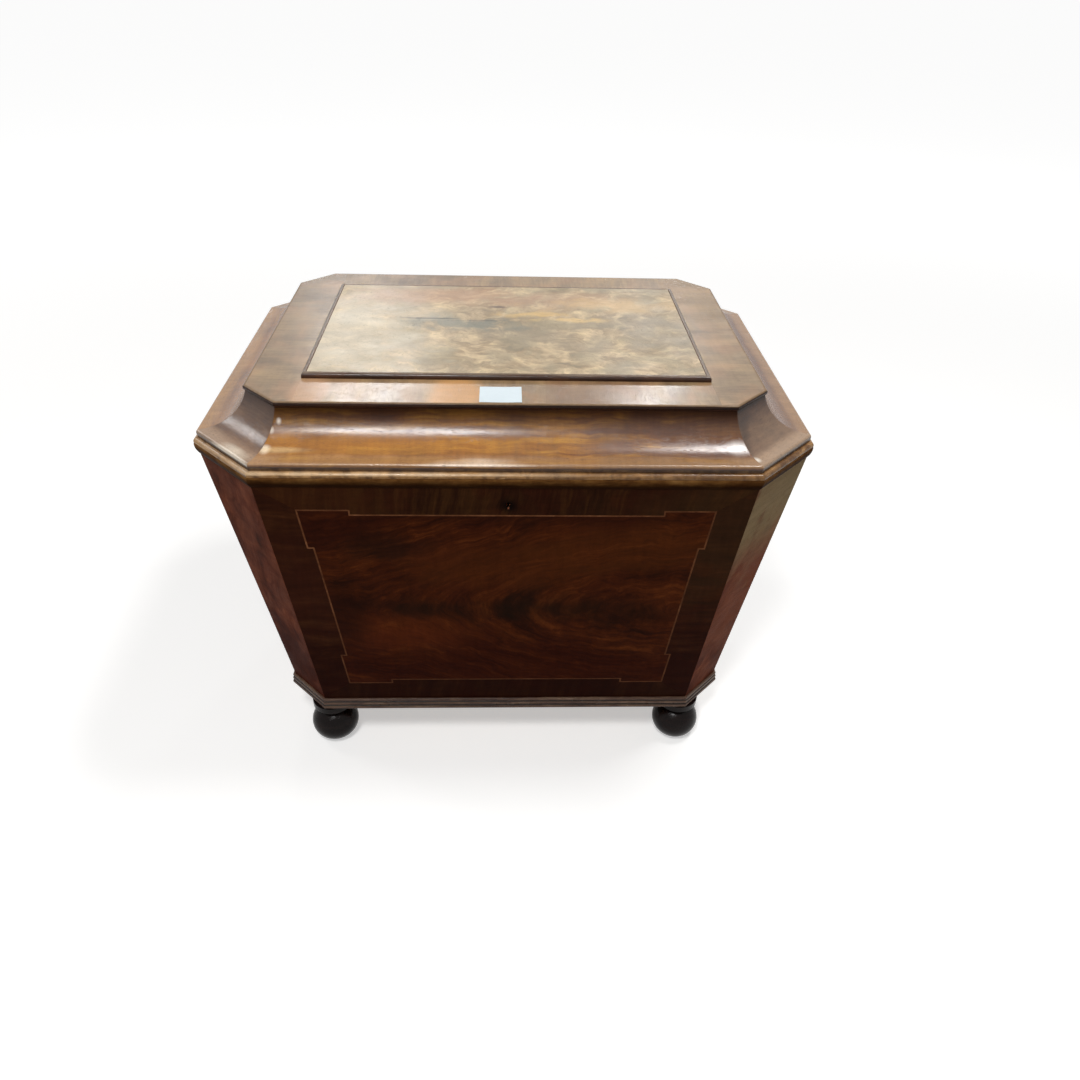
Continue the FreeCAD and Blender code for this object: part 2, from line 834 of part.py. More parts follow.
def bun_foot():
    """Turned foot with its spigot, standing on the floor at the origin."""
    return profile_face(
        (0, 0),
        (foot_pad_radius, 0),
        round_to_widest((foot_pad_radius, 0), (bun_radius, bun_centre_height)),
        round_from_widest((bun_radius, bun_centre_height), (neck_radius, bun_top_height)),
        (neck_radius, collar_bottom_height),
        ((collar_radius, (collar_bottom_height + collar_top_height) / 2), (neck_radius, collar_top_height)),
        (cap_radius, collar_top_height),
        (cap_radius, foot_height),
        (spigot_radius, foot_height),
        (spigot_radius, foot_height + spigot_length),
        (0, foot_height + spigot_length),
    ).revolve(FreeCAD.Vector(), FreeCAD.Vector(0, 0, 1), 360)


def reeded_face():
    """Section of the base moulding, with its widest line at X 0."""
    steps = []
    height = foot_height
    for index, reed in enumerate(reed_heights):
        front = -index * reed_setback
        root = front - reed_swell
        steps.append((root, height))
        steps.append(((front, height + reed / 2), (root, height + reed)))
        height += reed
    return profile_face((-base_moulding_width, foot_height), *steps, (-base_moulding_width, base_top))


def make_base(nodes):
    """Bottom board, reeded base moulding round it and four bun feet under it."""
    bottom = prism(grown(base_plan, -base_moulding_width), foot_height, base_top)
    for name, (x, y) in foot_axes().items():
        nodes[f"bun_foot_{name}"] = placed(bun_foot(), move(x, y, 0))
        bottom = bottom.cut(rod(
            spigot_radius + spigot_clearance,
            FreeCAD.Vector(x, y, foot_height - 1),
            FreeCAD.Vector(x, y, foot_height + spigot_length + spigot_clearance),
        ))
    nodes["bottom_board"] = bottom
    for side in straight_sides:
        nodes[f"base_moulding_{side}"] = mitred_length(reeded_face(), base_plan, side)
    nodes["base_moulding_corners"] = Part.makeCompound(
        [mitred_length(reeded_face(), base_plan, side) for side in canted_sides])


def make_liner(nodes):
    """Zinc tub inside the chest, open at the top."""
    top = body_top - liner_drop
    inner_depth = wall_thickness + liner_thickness
    floor = base_top + liner_thickness
    outside = frustum(
        corners(body_plan(base_top, wall_thickness), base_top),
        corners(body_plan(top, wall_thickness), top),
    )
    inside = frustum(
        corners(body_plan(floor, inner_depth), floor),
        corners(body_plan(top + 1, inner_depth), top + 1),
    )
    nodes["zinc_liner"] = outside.cut(inside)


# --- Lid --------------------------------------------------------------------------------------------------

def rim_face():
    """Section of the rim frame, with its widest line at X 0."""
    ledge = (-rim_lip_setback + rim_quirk, rim_top)
    widest = (0, rim_top - rim_nosing_drop)
    foot = (-body_setback + rim_foot_overhang, body_top)
    return profile_face(
        (-rim_frame_width, body_top),
        foot,
        round_to_widest(foot, widest),
        round_from_widest(widest, ledge),
        (-rim_frame_width, rim_top),
    )


def cove_face():
    """Section of the cove, with the face of its lip at X 0."""
    centre = (-cove_land, rim_top + cove_centre_height)
    hollow_end = (-cove_land, rim_top + cove_lip)
    hollow_start = (-cove_run, cove_top)
    lip_start = (-cove_lip_round, rim_top + cove_lip)
    lip_end = (0, rim_top + cove_lip - cove_lip_round)
    lip_centre = (-cove_lip_round, rim_top + cove_lip - cove_lip_round)
    return profile_face(
        (rim_lip_setback - rim_frame_width, rim_top),
        (0, rim_top),
        lip_end,
        (arc_middle(lip_centre, lip_end, lip_start), lip_start),
        hollow_end,
        (arc_middle(centre, hollow_end, hollow_start), hollow_start),
        (-cove_run - cove_shoulder, cove_top),
    )


def make_rim_and_cove(nodes):
    """Rim frame and coves of the lid, each in eight mitred lengths."""
    for side in side_angles:
        kind = side if side in straight_sides else f"corner_{side}"
        rim = mitred_length(rim_face(), rim_plan, side)
        if side == "front":
            rim = without_screws(rim.cut(link_plate_blank()), link_screw_places)
        if side == "back":
            for centre in hinge_centres.values():
                rim = rim.cut([leaf_recess(centre, True), knuckle_notch(centre)])
                rim = without_screws(rim, leaf_screw_places(centre, True))
        nodes[f"lid_rim_{kind}"] = rim.Solids[0]
        nodes[f"lid_cove_{kind}"] = mitred_length(cove_face(), lip_plan, side)


def edges_at(shape, height):
    """Edges of a shape that lie level at a height."""
    tolerance = 1e-4
    return [edge for edge in shape.Edges
            if abs(edge.BoundBox.ZMin - height) < tolerance and abs(edge.BoundBox.ZMax - height) < tolerance]


def top_board():
    """Board with a rounded edge, a tongue below and a shallow tray for the crossbanding above."""
    plate = prism(board_plan, cove_top, board_top)
    plate = plate.makeFillet(top_edge_round, edges_at(plate, board_top))
    plate = plate.makeFillet(top_edge_under_round, edges_at(plate, cove_top))
    tongue_plan = grown(lip_plan, -cove_run - cove_shoulder)
    tongue = prism(tongue_plan, cove_top - top_tongue, cove_top)
    tray = prism(veneer_plan, veneer_floor, board_top + 1)
    return fused([plate, tongue]).cut(tray)


def panel_moulding_face():
    """Section of the bead round the raised panel, with its outer face at X 0."""
    shoulder = panel_top - panel_moulding_round
    round_end = (-panel_moulding_round, panel_top)
    round_centre = (-panel_moulding_round, shoulder)
    quirk_x = -panel_moulding_width + panel_quirk_width
    return profile_face(
        (-panel_moulding_width, veneer_floor),
        (0, veneer_floor),
        (0, shoulder),
        (arc_middle(round_centre, (0, shoulder), round_end), round_end),
        (quirk_x, panel_top),
        (quirk_x, panel_top - panel_quirk_depth),
        (-panel_moulding_width, panel_top - panel_quirk_depth),
    )


def make_lid_top(nodes):
    """Top board, its crossbanding, the raised panel with its moulding, and the paper ticket."""
    nodes["lid_top_board"] = top_board()
    nodes["raised_panel"] = prism(grown(panel_plan, -panel_moulding_width), veneer_floor, panel_top)
    for side in straight_sides:
        nodes[f"panel_moulding_{side}"] = mitred_length(panel_moulding_face(), panel_plan, side)

    sheet = prism(veneer_plan, veneer_floor, board_top)
    half_width = panel_plan["right"]
    half_depth = panel_plan["front"]
    far = rim_width
    heights = (veneer_floor - 1, board_top + 1)
    regions = (
        block((-half_width, half_width), (-far, -half_depth), heights),
        block((-half_width, half_width), (half_depth, far), heights),
        block((-far, -half_width), (-far, far), heights),
        block((half_width, far), (-far, far), heights),
    )
    nodes["top_crossbanding"] = Part.makeCompound([sheet.common(region).Solids[0] for region in regions])

    ticket_front = -board_plan["front"] + ticket_inset
    nodes["paper_ticket"] = block(
        (ticket_offset - ticket_width / 2, ticket_offset + ticket_width / 2),
        (ticket_front, ticket_front + ticket_depth),
        (board_top, board_top + ticket_thickness),
    )


# --- All parts --------------------------------------------------------------------------------------------

def make_cellarette():
    """Every part by name."""
    nodes = {}
    make_walls(nodes)
    make_front_veneers(nodes)
    make_base(nodes)
    make_liner(nodes)
    make_lock(nodes)
    make_hinges(nodes)
    make_rim_and_cove(nodes)
    make_lid_top(nodes)
    return nodes


os.makedirs("parts", exist_ok=True)
for node_name, node_shape in make_cellarette().items():
    node_shape.exportStep(f"parts/{node_name}.step")
    print(node_name, len(node_shape.Solids), round(node_shape.Volume, 1), node_shape.isValid())
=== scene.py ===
"""Makes the visible cellarette round its fixed frame: pieces, finishes, room, lamps and camera."""

import json
import logging
import math
from dataclasses import dataclass
from enum import Enum
from typing import Any, Iterable, Iterator

import bmesh
import bpy
from mathutils import Matrix, Vector, noise

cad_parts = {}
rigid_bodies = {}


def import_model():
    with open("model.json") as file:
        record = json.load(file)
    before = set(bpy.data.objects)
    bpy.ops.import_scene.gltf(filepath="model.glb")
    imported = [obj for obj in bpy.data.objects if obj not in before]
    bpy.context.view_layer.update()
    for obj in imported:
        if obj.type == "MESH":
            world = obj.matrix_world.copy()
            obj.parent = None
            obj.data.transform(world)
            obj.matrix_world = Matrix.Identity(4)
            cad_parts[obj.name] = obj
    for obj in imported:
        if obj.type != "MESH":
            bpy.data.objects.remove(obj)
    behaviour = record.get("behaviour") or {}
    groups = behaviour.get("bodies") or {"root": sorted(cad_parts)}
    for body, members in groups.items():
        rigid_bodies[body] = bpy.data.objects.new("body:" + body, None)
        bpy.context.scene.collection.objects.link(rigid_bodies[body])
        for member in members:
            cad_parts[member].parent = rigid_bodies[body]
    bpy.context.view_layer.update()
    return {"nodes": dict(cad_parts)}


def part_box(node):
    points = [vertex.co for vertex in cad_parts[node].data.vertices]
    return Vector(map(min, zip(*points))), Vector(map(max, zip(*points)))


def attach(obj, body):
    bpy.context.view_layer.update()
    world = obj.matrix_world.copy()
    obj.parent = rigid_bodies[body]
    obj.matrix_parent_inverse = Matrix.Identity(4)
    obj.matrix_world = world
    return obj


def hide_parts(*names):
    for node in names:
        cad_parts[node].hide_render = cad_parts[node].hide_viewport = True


for left_over in list(bpy.data.objects):
    bpy.data.objects.remove(left_over)
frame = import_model()
log = logging.getLogger("cellarette")

Tree = bpy.types.NodeTree
Node = bpy.types.Node
Mesh = bmesh.types.BMesh
Vert = bmesh.types.BMVert
Face = bmesh.types.BMFace
Pair = tuple[float, float]
Triple = tuple[float, float, float]
Inputs = dict[str | int, Any]

MM = 0.001
SAME = 0.01 * MM
FLAT = math.radians(0.4)
UP = Vector((0.0, 0.0, 1.0))
X_WAY = Vector((1.0, 0.0, 0.0))
Y_WAY = Vector((0.0, 1.0, 0.0))
QUARTER = math.radians(90.0)
GRAIN = "grain"


# --- Node graphs --------------------------------------------------------------------------------

def linear(hex_colour: str) -> tuple[float, float, float, float]:
    """Turns an sRGB hex colour such as "#7a4a2a" to linear light.

    Args:
        hex_colour: Six hex digits after a hash sign.

    Returns:
        Red, green, blue and an alpha of 1.
    """
    parts = [int(hex_colour[start:start + 2], 16) / 255.0 for start in (1, 3, 5)]
    red, green, blue = (
        part / 12.92 if part <= 0.04045 else ((part + 0.055) / 1.055) ** 2.4 for part in parts
    )
    return red, green, blue, 1.0


def plug(node: Node, inputs: Inputs) -> None:
    """Sets or links inputs of a node.

    Args:
        node: The node.
        inputs: A value, a socket or a whole node for each input, by its name or number.
    """
    for key, value in inputs.items():
        if isinstance(value, Node):
            value = value.outputs[0]
        if isinstance(value, bpy.types.NodeSocket):
            node.id_data.links.new(value, node.inputs[key])
        else:
            node.inputs[key].default_value = value


def add(tree: Tree, kind: str, inputs: Inputs | None = None,
        ramp: Iterable[tuple[float, str]] = (), **settings: Any) -> Node:
    """Adds one node with its settings and links.

    Args:
        tree: The graph that takes the node.
        kind: Blender's name for the node, without "ShaderNode".
        inputs: What its inputs get, as plug() takes it.
        ramp: Stops of a colour ramp, each with its place and its colour.
        **settings: The node's own settings.

    Returns:
        The new node.
    """
    node = tree.nodes.new("ShaderNode" + kind)
    for name, value in settings.items():
        setattr(node, name, value)
    for index, (place, colour) in enumerate(ramp):
        stops = node.color_ramp.elements
        stop = stops[index] if index < 2 else stops.new(place)
        stop.position = place
        stop.color = linear(colour)
    plug(node, inputs or {})
    return node


def new_material(name: str) -> tuple[bpy.types.Material, Tree, Node]:
    """Makes a material with its shader and nothing else.

    Args:
        name: The material's name.

    Returns:
        The material, its graph and its surface shader.
    """
    material = bpy.data.materials.new(name)
    material.use_nodes = True
    tree = material.node_tree
    return material, tree, tree.nodes["Principled BSDF"]


# --- Finishes -----------------------------------------------------------------------------------

class Follows(Enum):
    """What a pattern follows."""

    PIECE = "the piece's own grain map"
    SPACE = "the place in the object"


@dataclass(frozen=True)
class Plume:
    """Flame figure of a crotch veneer: strokes that sweep away from a heart line on both sides.

    The strokes are steepest at the heart and level out over the length of a sweep.
    """

    heart: Pair
    rise: float
    sweep: float
    softness: float


@dataclass(frozen=True)
class Mark:
    """A soft-edged mark in a wood: a dark heart, a knot, a pale patch, painted shade or highlight.

    Its centre and reach are in metres in the object. The figure breaks its edge by its raggedness.
    """

    colour: str
    centre: Triple
    reach: Triple
    strength: float = 0.6
    softness: float = 0.6
    ragged: float = 0.8


FAR = 9.0


@dataclass(frozen=True)
class Wood:
    """One wood with its figure, colour, marks and polish. Lengths are in metres.

    Its four shades run from dark to pale. Dirt, where there is any, dulls the polish from its
    first height up to its second. A span is the part of a noise's range that counts, from none
    to all.
    """

    name: str
    shades: tuple[str, str, str, str]
    shade_places: tuple[float, float, float, float] = (0.32, 0.46, 0.56, 0.70)
    marks: tuple[Mark, ...] = ()
    mark_curl: float = 0.04
    follows: Follows = Follows.PIECE
    turn: Triple = (0.0, 0.0, 0.0)
    plume: Plume | None = None
    figure_size: Pair = (0.16, 0.014)
    streak_size: Pair = (0.05, 0.0021)
    streak_share: float = 0.35
    wander: float = 0.006
    wander_length: float = 0.09
    leaf_width: float = 0.0
    leaf_spread: float = 0.0
    mottle: float = 0.1
    mottle_size: Pair = (0.007, 0.045)
    mottle_span: Pair = (0.3, 0.7)
    cloud_colour: str = "#4a2a18"
    cloud_size: float = 0.09
    cloud_strength: float = 0.35
    cloud_span: Pair = (0.42, 0.68)
    pore_colour: str = "#1a0b06"
    pore_strength: float = 0.35
    pore_size: Pair = (0.006, 0.0006)
    pore_span: Pair = (0.56, 0.68)
    roughness: float = 0.24
    roughness_spread: float = 0.12
    smear_size: float = 0.05
    smear_span: Pair = (0.35, 0.7)
    specular: float = 0.5
    dirt: Pair | None = None
    gloss_under_dirt: float = 0.15
    pore_depth: float = 0.00004
    sag_depth: float = 0.00012
    sag_size: float = 0.035

    def grain_vector(self, tree: Tree) -> tuple[Node, Node]:
        """Lays out the grain: X runs along it and Y across it.

        Args:
            tree: The material's graph.

        Returns:
            The plain place on the wood, and the place after the grain has wandered and curled.
        """
        if self.follows is Follows.PIECE:
            source = add(tree, "UVMap", uv_map=GRAIN).outputs["UV"]
        else:
            source = add(tree, "TexCoord").outputs["Object"]
        place = add(tree, "Mapping", {"Vector": source, "Rotation": self.turn})
        drift = add(tree, "TexNoise",
                    {"Vector": place, "Scale": 1.0 / self.wander_length, "Detail": 3.0})
        pull = add(tree, "VectorMath", {0: drift.outputs["Color"], 1: (0.5, 0.5, 0.5)},
                   operation="SUBTRACT")
        # The noise strays by about a quarter, so that four times it strays by the whole wander.
        pull = add(tree, "VectorMath", {0: pull, 1: (0.0, 4 * self.wander, 4 * self.wander)},
                   operation="MULTIPLY")
        grain = add(tree, "VectorMath", {0: place, 1: pull}, operation="ADD")
        if self.plume:
            grain = self.curl(tree, grain, self.plume)
        return place, grain

    def curl(self, tree: Tree, grain: Node, plume: Plume) -> Node:
        """Bends straight grain into the strokes of a plume.

        Args:
            tree: The material's graph.
            grain: The place on the wood.
            plume: The shape of the plume.

        Returns:
            The place with X along the strokes and Y across them.
        """
        parts = add(tree, "SeparateXYZ", {"Vector": grain})
        along, height = (
            add(tree, "Math", {0: parts.outputs[axis], 1: heart}, operation="SUBTRACT")
            for axis, heart in zip("XY", plume.heart)
        )
        square = add(tree, "Math", {0: height, 1: height, 2: plume.softness ** 2},
                     operation="MULTIPLY_ADD")
        away = add(tree, "Math", {0: square}, operation="SQRT")
        sweep = add(tree, "Math", {0: along, 1: plume.sweep}, operation="DIVIDE")
        sweep = add(tree, "Math", {0: sweep}, operation="TANH")
        across = add(tree, "Math", {0: sweep, 1: -plume.rise, 2: away}, operation="MULTIPLY_ADD")
        return add(tree, "CombineXYZ", {"X": along, "Y": across, "Z": parts.outputs["Z"]})

    def band(self, tree: Tree, grain: Node, size: Pair, detail: float) -> Node:
        """Draws noise out along the grain.

        Args:
            tree: The material's graph.
            grain: The place on the wood.
            size: Length and width of one streak.
            detail: Levels of finer noise in it.

        Returns:
            The noise node.
        """
        spread = add(tree, "VectorMath", {0: grain, 1: (1 / size[0], 1 / size[1], 1 / size[1])},
                     operation="MULTIPLY")
        return add(tree, "TexNoise",
                   {"Vector": spread, "Scale": 1.0, "Detail": detail, "Roughness": 0.6})

    def leaves(self, tree: Tree, place: Node, tone: Node) -> Node:
        """Shifts the tone from one leaf of veneer to the next, across the grain.

        Args:
            tree: The material's graph.
            place: The plain place on the wood.
            tone: The tone so far.

        Returns:
            The node that gives the shifted tone.
        """
        parts = add(tree, "SeparateXYZ", {"Vector": place})
        across = add(tree, "Math", {0: parts.outputs["Y"], 1: self.leaf_width}, operation="DIVIDE")
        cells = add(tree, "TexVoronoi", {"W": across, "Scale": 1.0}, voronoi_dimensions="1D")
        chance = add(tree, "SeparateColor", {"Color": cells.outputs["Color"]})
        shift = add(tree, "Math",
                    {0: chance.outputs[0], 1: self.leaf_spread, 2: -self.leaf_spread / 2},
                    operation="MULTIPLY_ADD")
        return add(tree, "Math", {0: tone, 1: shift}, operation="ADD")

    def colour(self, tree: Tree, place: Node, grain: Node, pores: Node) -> Node:
        """Builds the colour from figure, streaks, clouds, marks, mottle and pores.

        Args:
            tree: The material's graph.
            place: The plain place on the wood.
            grain: The place after the grain has curled.
            pores: Mask of the pores.

        Returns:
            The node that gives the colour.
        """
        figure = self.band(tree, grain, self.figure_size, 4.0)
        streaks = self.band(tree, grain, self.streak_size, 4.0)
        tone = add(tree, "Mix", {0: self.streak_share, 2: figure, 3: streaks})
        if self.leaf_width:
            tone = self.leaves(tree, place, tone)
        colour = add(tree, "ValToRGB", {"Fac": tone}, ramp=zip(self.shade_places, self.shades))
        cloud = add(tree, "TexNoise", {"Vector": place, "Scale": 1 / self.cloud_size,
                                       "Detail": 3.0, "Distortion": 0.6})
        cloud_share = add(tree, "MapRange",
                          {"Value": cloud, "From Min": self.cloud_span[0],
                           "From Max": self.cloud_span[1], "To Min": 0.0,
                           "To Max": self.cloud_strength}, interpolation_type="SMOOTHSTEP")
        colour = add(tree, "MixRGB", {"Fac": cloud_share, "Color1": colour,
                                      "Color2": linear(self.cloud_colour)})
        for mark in self.marks:
            colour = self.mark(tree, colour, figure, mark)
        shimmer = self.band(tree, place, self.mottle_size, 2.0)
        light = add(tree, "MapRange",
                    {"Value": shimmer, "From Min": self.mottle_span[0],
                     "From Max": self.mottle_span[1], "To Min": 1 - self.mottle,
                     "To Max": 1 + self.mottle})
        colour = add(tree, "MixRGB", {"Fac": 1.0, "Color1": colour, "Color2": light},
                     blend_type="MULTIPLY")
        pore_share = add(tree, "Math", {0: pores, 1: self.pore_strength}, operation="MULTIPLY")
        return add(tree, "MixRGB", {"Fac": pore_share, "Color1": colour,
                                    "Color2": linear(self.pore_colour)})

    def mark(self, tree: Tree, colour: Node, figure: Node, mark: Mark) -> Node:
        """Lays one mark over the colour.

        Args:
            tree: The material's graph.
            colour: The colour so far.
            figure: The figure, which breaks the mark's edge.
            mark: The mark.

        Returns:
            The node that gives the marked colour.
        """
        place = add(tree, "TexCoord").outputs["Object"]
        curls = add(tree, "TexNoise", {"Vector": place, "Scale": 1 / self.mark_curl, "Detail": 3.0})
        offset = add(tree, "VectorMath", {0: place, 1: mark.centre}, operation="SUBTRACT")
        offset = add(tree, "VectorMath", {0: offset, 1: mark.reach}, operation="DIVIDE")
        length = add(tree, "VectorMath", {0: offset}, operation="LENGTH").outputs["Value"]
        break_up = add(tree, "Math", {0: figure, 1: curls}, operation="ADD")
        length = add(tree, "Math", {0: break_up, 1: 2 * mark.ragged, 2: length},
                     operation="MULTIPLY_ADD")
        # Figure and curls add up to about 1, so the edge lies where the length alone would be 1.
        edge = 1 + 2 * mark.ragged
        share = add(tree, "MapRange",
                    {"Value": length, "From Min": edge + mark.softness,
                     "From Max": edge - mark.softness, "To Min": 0.0, "To Max": mark.strength},
                    interpolation_type="SMOOTHSTEP")
        return add(tree, "MixRGB", {"Fac": share, "Color1": colour, "Color2": linear(mark.colour)})

    def relief(self, tree: Tree, place: Node, pores: Node) -> Node:
        """Builds the relief from the sag of the polish and the open pores.

        Args:
            tree: The material's graph.
            place: The plain place on the wood.
            pores: Mask of the pores.

        Returns:
            The node that gives the normal.
        """
        sag = add(tree, "TexNoise", {"Vector": place, "Scale": 1 / self.sag_size, "Detail": 1.0})
        waves = add(tree, "Bump", {"Height": sag, "Distance": self.sag_depth})
        inverted = add(tree, "Math", {0: 1.0, 1: pores}, operation="SUBTRACT")
        return add(tree, "Bump", {"Height": inverted, "Distance": self.pore_depth, "Normal": waves})

    def shine(self, tree: Tree, dirt: Pair) -> Node:
        """Lets the polish lose its shine upwards, where dirt lies on it.

        Args:
            tree: The material's graph.
            dirt: Height where the dirt begins, and height from which it covers the polish.

        Returns:
            The node that gives the specular level.
        """
        place = add(tree, "TexCoord").outputs["Object"]
        parts = add(tree, "SeparateXYZ", {"Vector": place})
        return add(tree, "MapRange",
                   {"Value": parts.outputs["Z"], "From Min": dirt[0], "From Max": dirt[1],
                    "To Min": self.specular, "To Max": self.specular * self.gloss_under_dirt},
                   interpolation_type="SMOOTHSTEP")

    def make(self) -> bpy.types.Material:
        """Builds the material.

        Returns:
            The material.
        """
        material, tree, shader = new_material(self.name)
        place, grain = self.grain_vector(tree)
        dashes = self.band(tree, grain, self.pore_size, 2.0)
        pores = add(tree, "MapRange",
                    {"Value": dashes, "From Min": self.pore_span[0],
                     "From Max": self.pore_span[1], "To Min": 0.0, "To Max": 1.0})
        smears = add(tree, "TexNoise",
                     {"Vector": place, "Scale": 1 / self.smear_size, "Detail": 4.0})
        dull = add(tree, "MapRange",
                   {"Value": smears, "From Min": self.smear_span[0],
                    "From Max": self.smear_span[1], "To Min": self.roughness,
                    "To Max": self.roughness + self.roughness_spread})
        plug(shader, {"Base Color": self.colour(tree, place, grain, pores), "Roughness": dull,
                      "Normal": self.relief(tree, place, pores),
                      "Specular IOR Level": self.specular})
        if self.dirt:
            plug(shader, {"Specular IOR Level": self.shine(tree, self.dirt)})
        return material


@dataclass(frozen=True)
class Metal:
    """Worked metal with tarnish and fine scratches. Lengths are in metres."""

    name: str
    bright: str
    tarnish: str
    metallic: float = 1.0
    roughness: float = 0.3
    roughness_spread: float = 0.25
    tarnish_size: float = 0.012
    tarnish_share: float = 0.6
    tarnish_span: Pair = (0.38, 0.66)
    dull_span: Pair = (0.3, 0.7)
    scratch_size: Pair = (0.012, 0.0004)
    scratch_depth: float = 0.00003

    def make(self) -> bpy.types.Material:
        """Builds the material.

        Returns:
            The material.
        """
        material, tree, shader = new_material(self.name)
        place = add(tree, "TexCoord").outputs["Object"]
        patches = add(tree, "TexNoise", {"Vector": place, "Scale": 1 / self.tarnish_size,
                                         "Detail": 5.0, "Roughness": 0.65})
        share = add(tree, "MapRange",
                    {"Value": patches, "From Min": self.tarnish_span[0],
                     "From Max": self.tarnish_span[1], "To Min": 0.0,
                     "To Max": self.tarnish_share})
        colour = add(tree, "MixRGB", {"Fac": share, "Color1": linear(self.bright),
                                      "Color2": linear(self.tarnish)})
        length, width = self.scratch_size
        drawn = add(tree, "VectorMath", {0: place, 1: (1 / length, 1 / width, 1 / width)},
                    operation="MULTIPLY")
        scratches = add(tree, "TexNoise", {"Vector": drawn, "Scale": 1.0, "Detail": 2.0})
        dull = add(tree, "MapRange",
                   {"Value": patches, "From Min": self.dull_span[0],
                    "From Max": self.dull_span[1], "To Min": self.roughness,
                    "To Max": self.roughness + self.roughness_spread})
        relief = add(tree, "Bump",
                     {"Height": scratches, "Strength": 0.35, "Distance": self.scratch_depth})
        plug(shader, {"Base Color": colour, "Roughness": dull, "Normal": relief,
                      "Metallic": self.metallic})
        return material


@dataclass(frozen=True)
class Paper:
    """Uncoated card: faint fibres, a cool white and no gloss."""

    name: str
    face: str
    fibre: str
    fibres_per_metre: float = 900.0
    stains_per_metre: float = 60.0
    fibre_depth: float = 0.00004
    roughness: float = 0.75
    specular: float = 0.2

    def make(self) -> bpy.types.Material:
        """Builds the material.

        Returns:
            The material.
        """
        material, tree, shader = new_material(self.name)
        place = add(tree, "TexCoord").outputs["Object"]
        fibres = add(tree, "TexNoise",
                     {"Vector": place, "Scale": self.fibres_per_metre, "Detail": 4.0})
        stains = add(tree, "TexNoise",
                     {"Vector": place, "Scale": self.stains_per_metre, "Detail": 2.0})
        share = add(tree, "Math", {0: fibres, 1: stains}, operation="MULTIPLY")
        colour = add(tree, "MixRGB",
                     {"Fac": share, "Color1": linear(self.face), "Color2": linear(self.fibre)})
        relief = add(tree, "Bump",
                     {"Height": fibres, "Strength": 0.3, "Distance": self.fibre_depth})
        plug(shader, {"Base Color": colour, "Normal": relief, "Roughness": self.roughness,
                      "Specular IOR Level": self.specular})
        return material


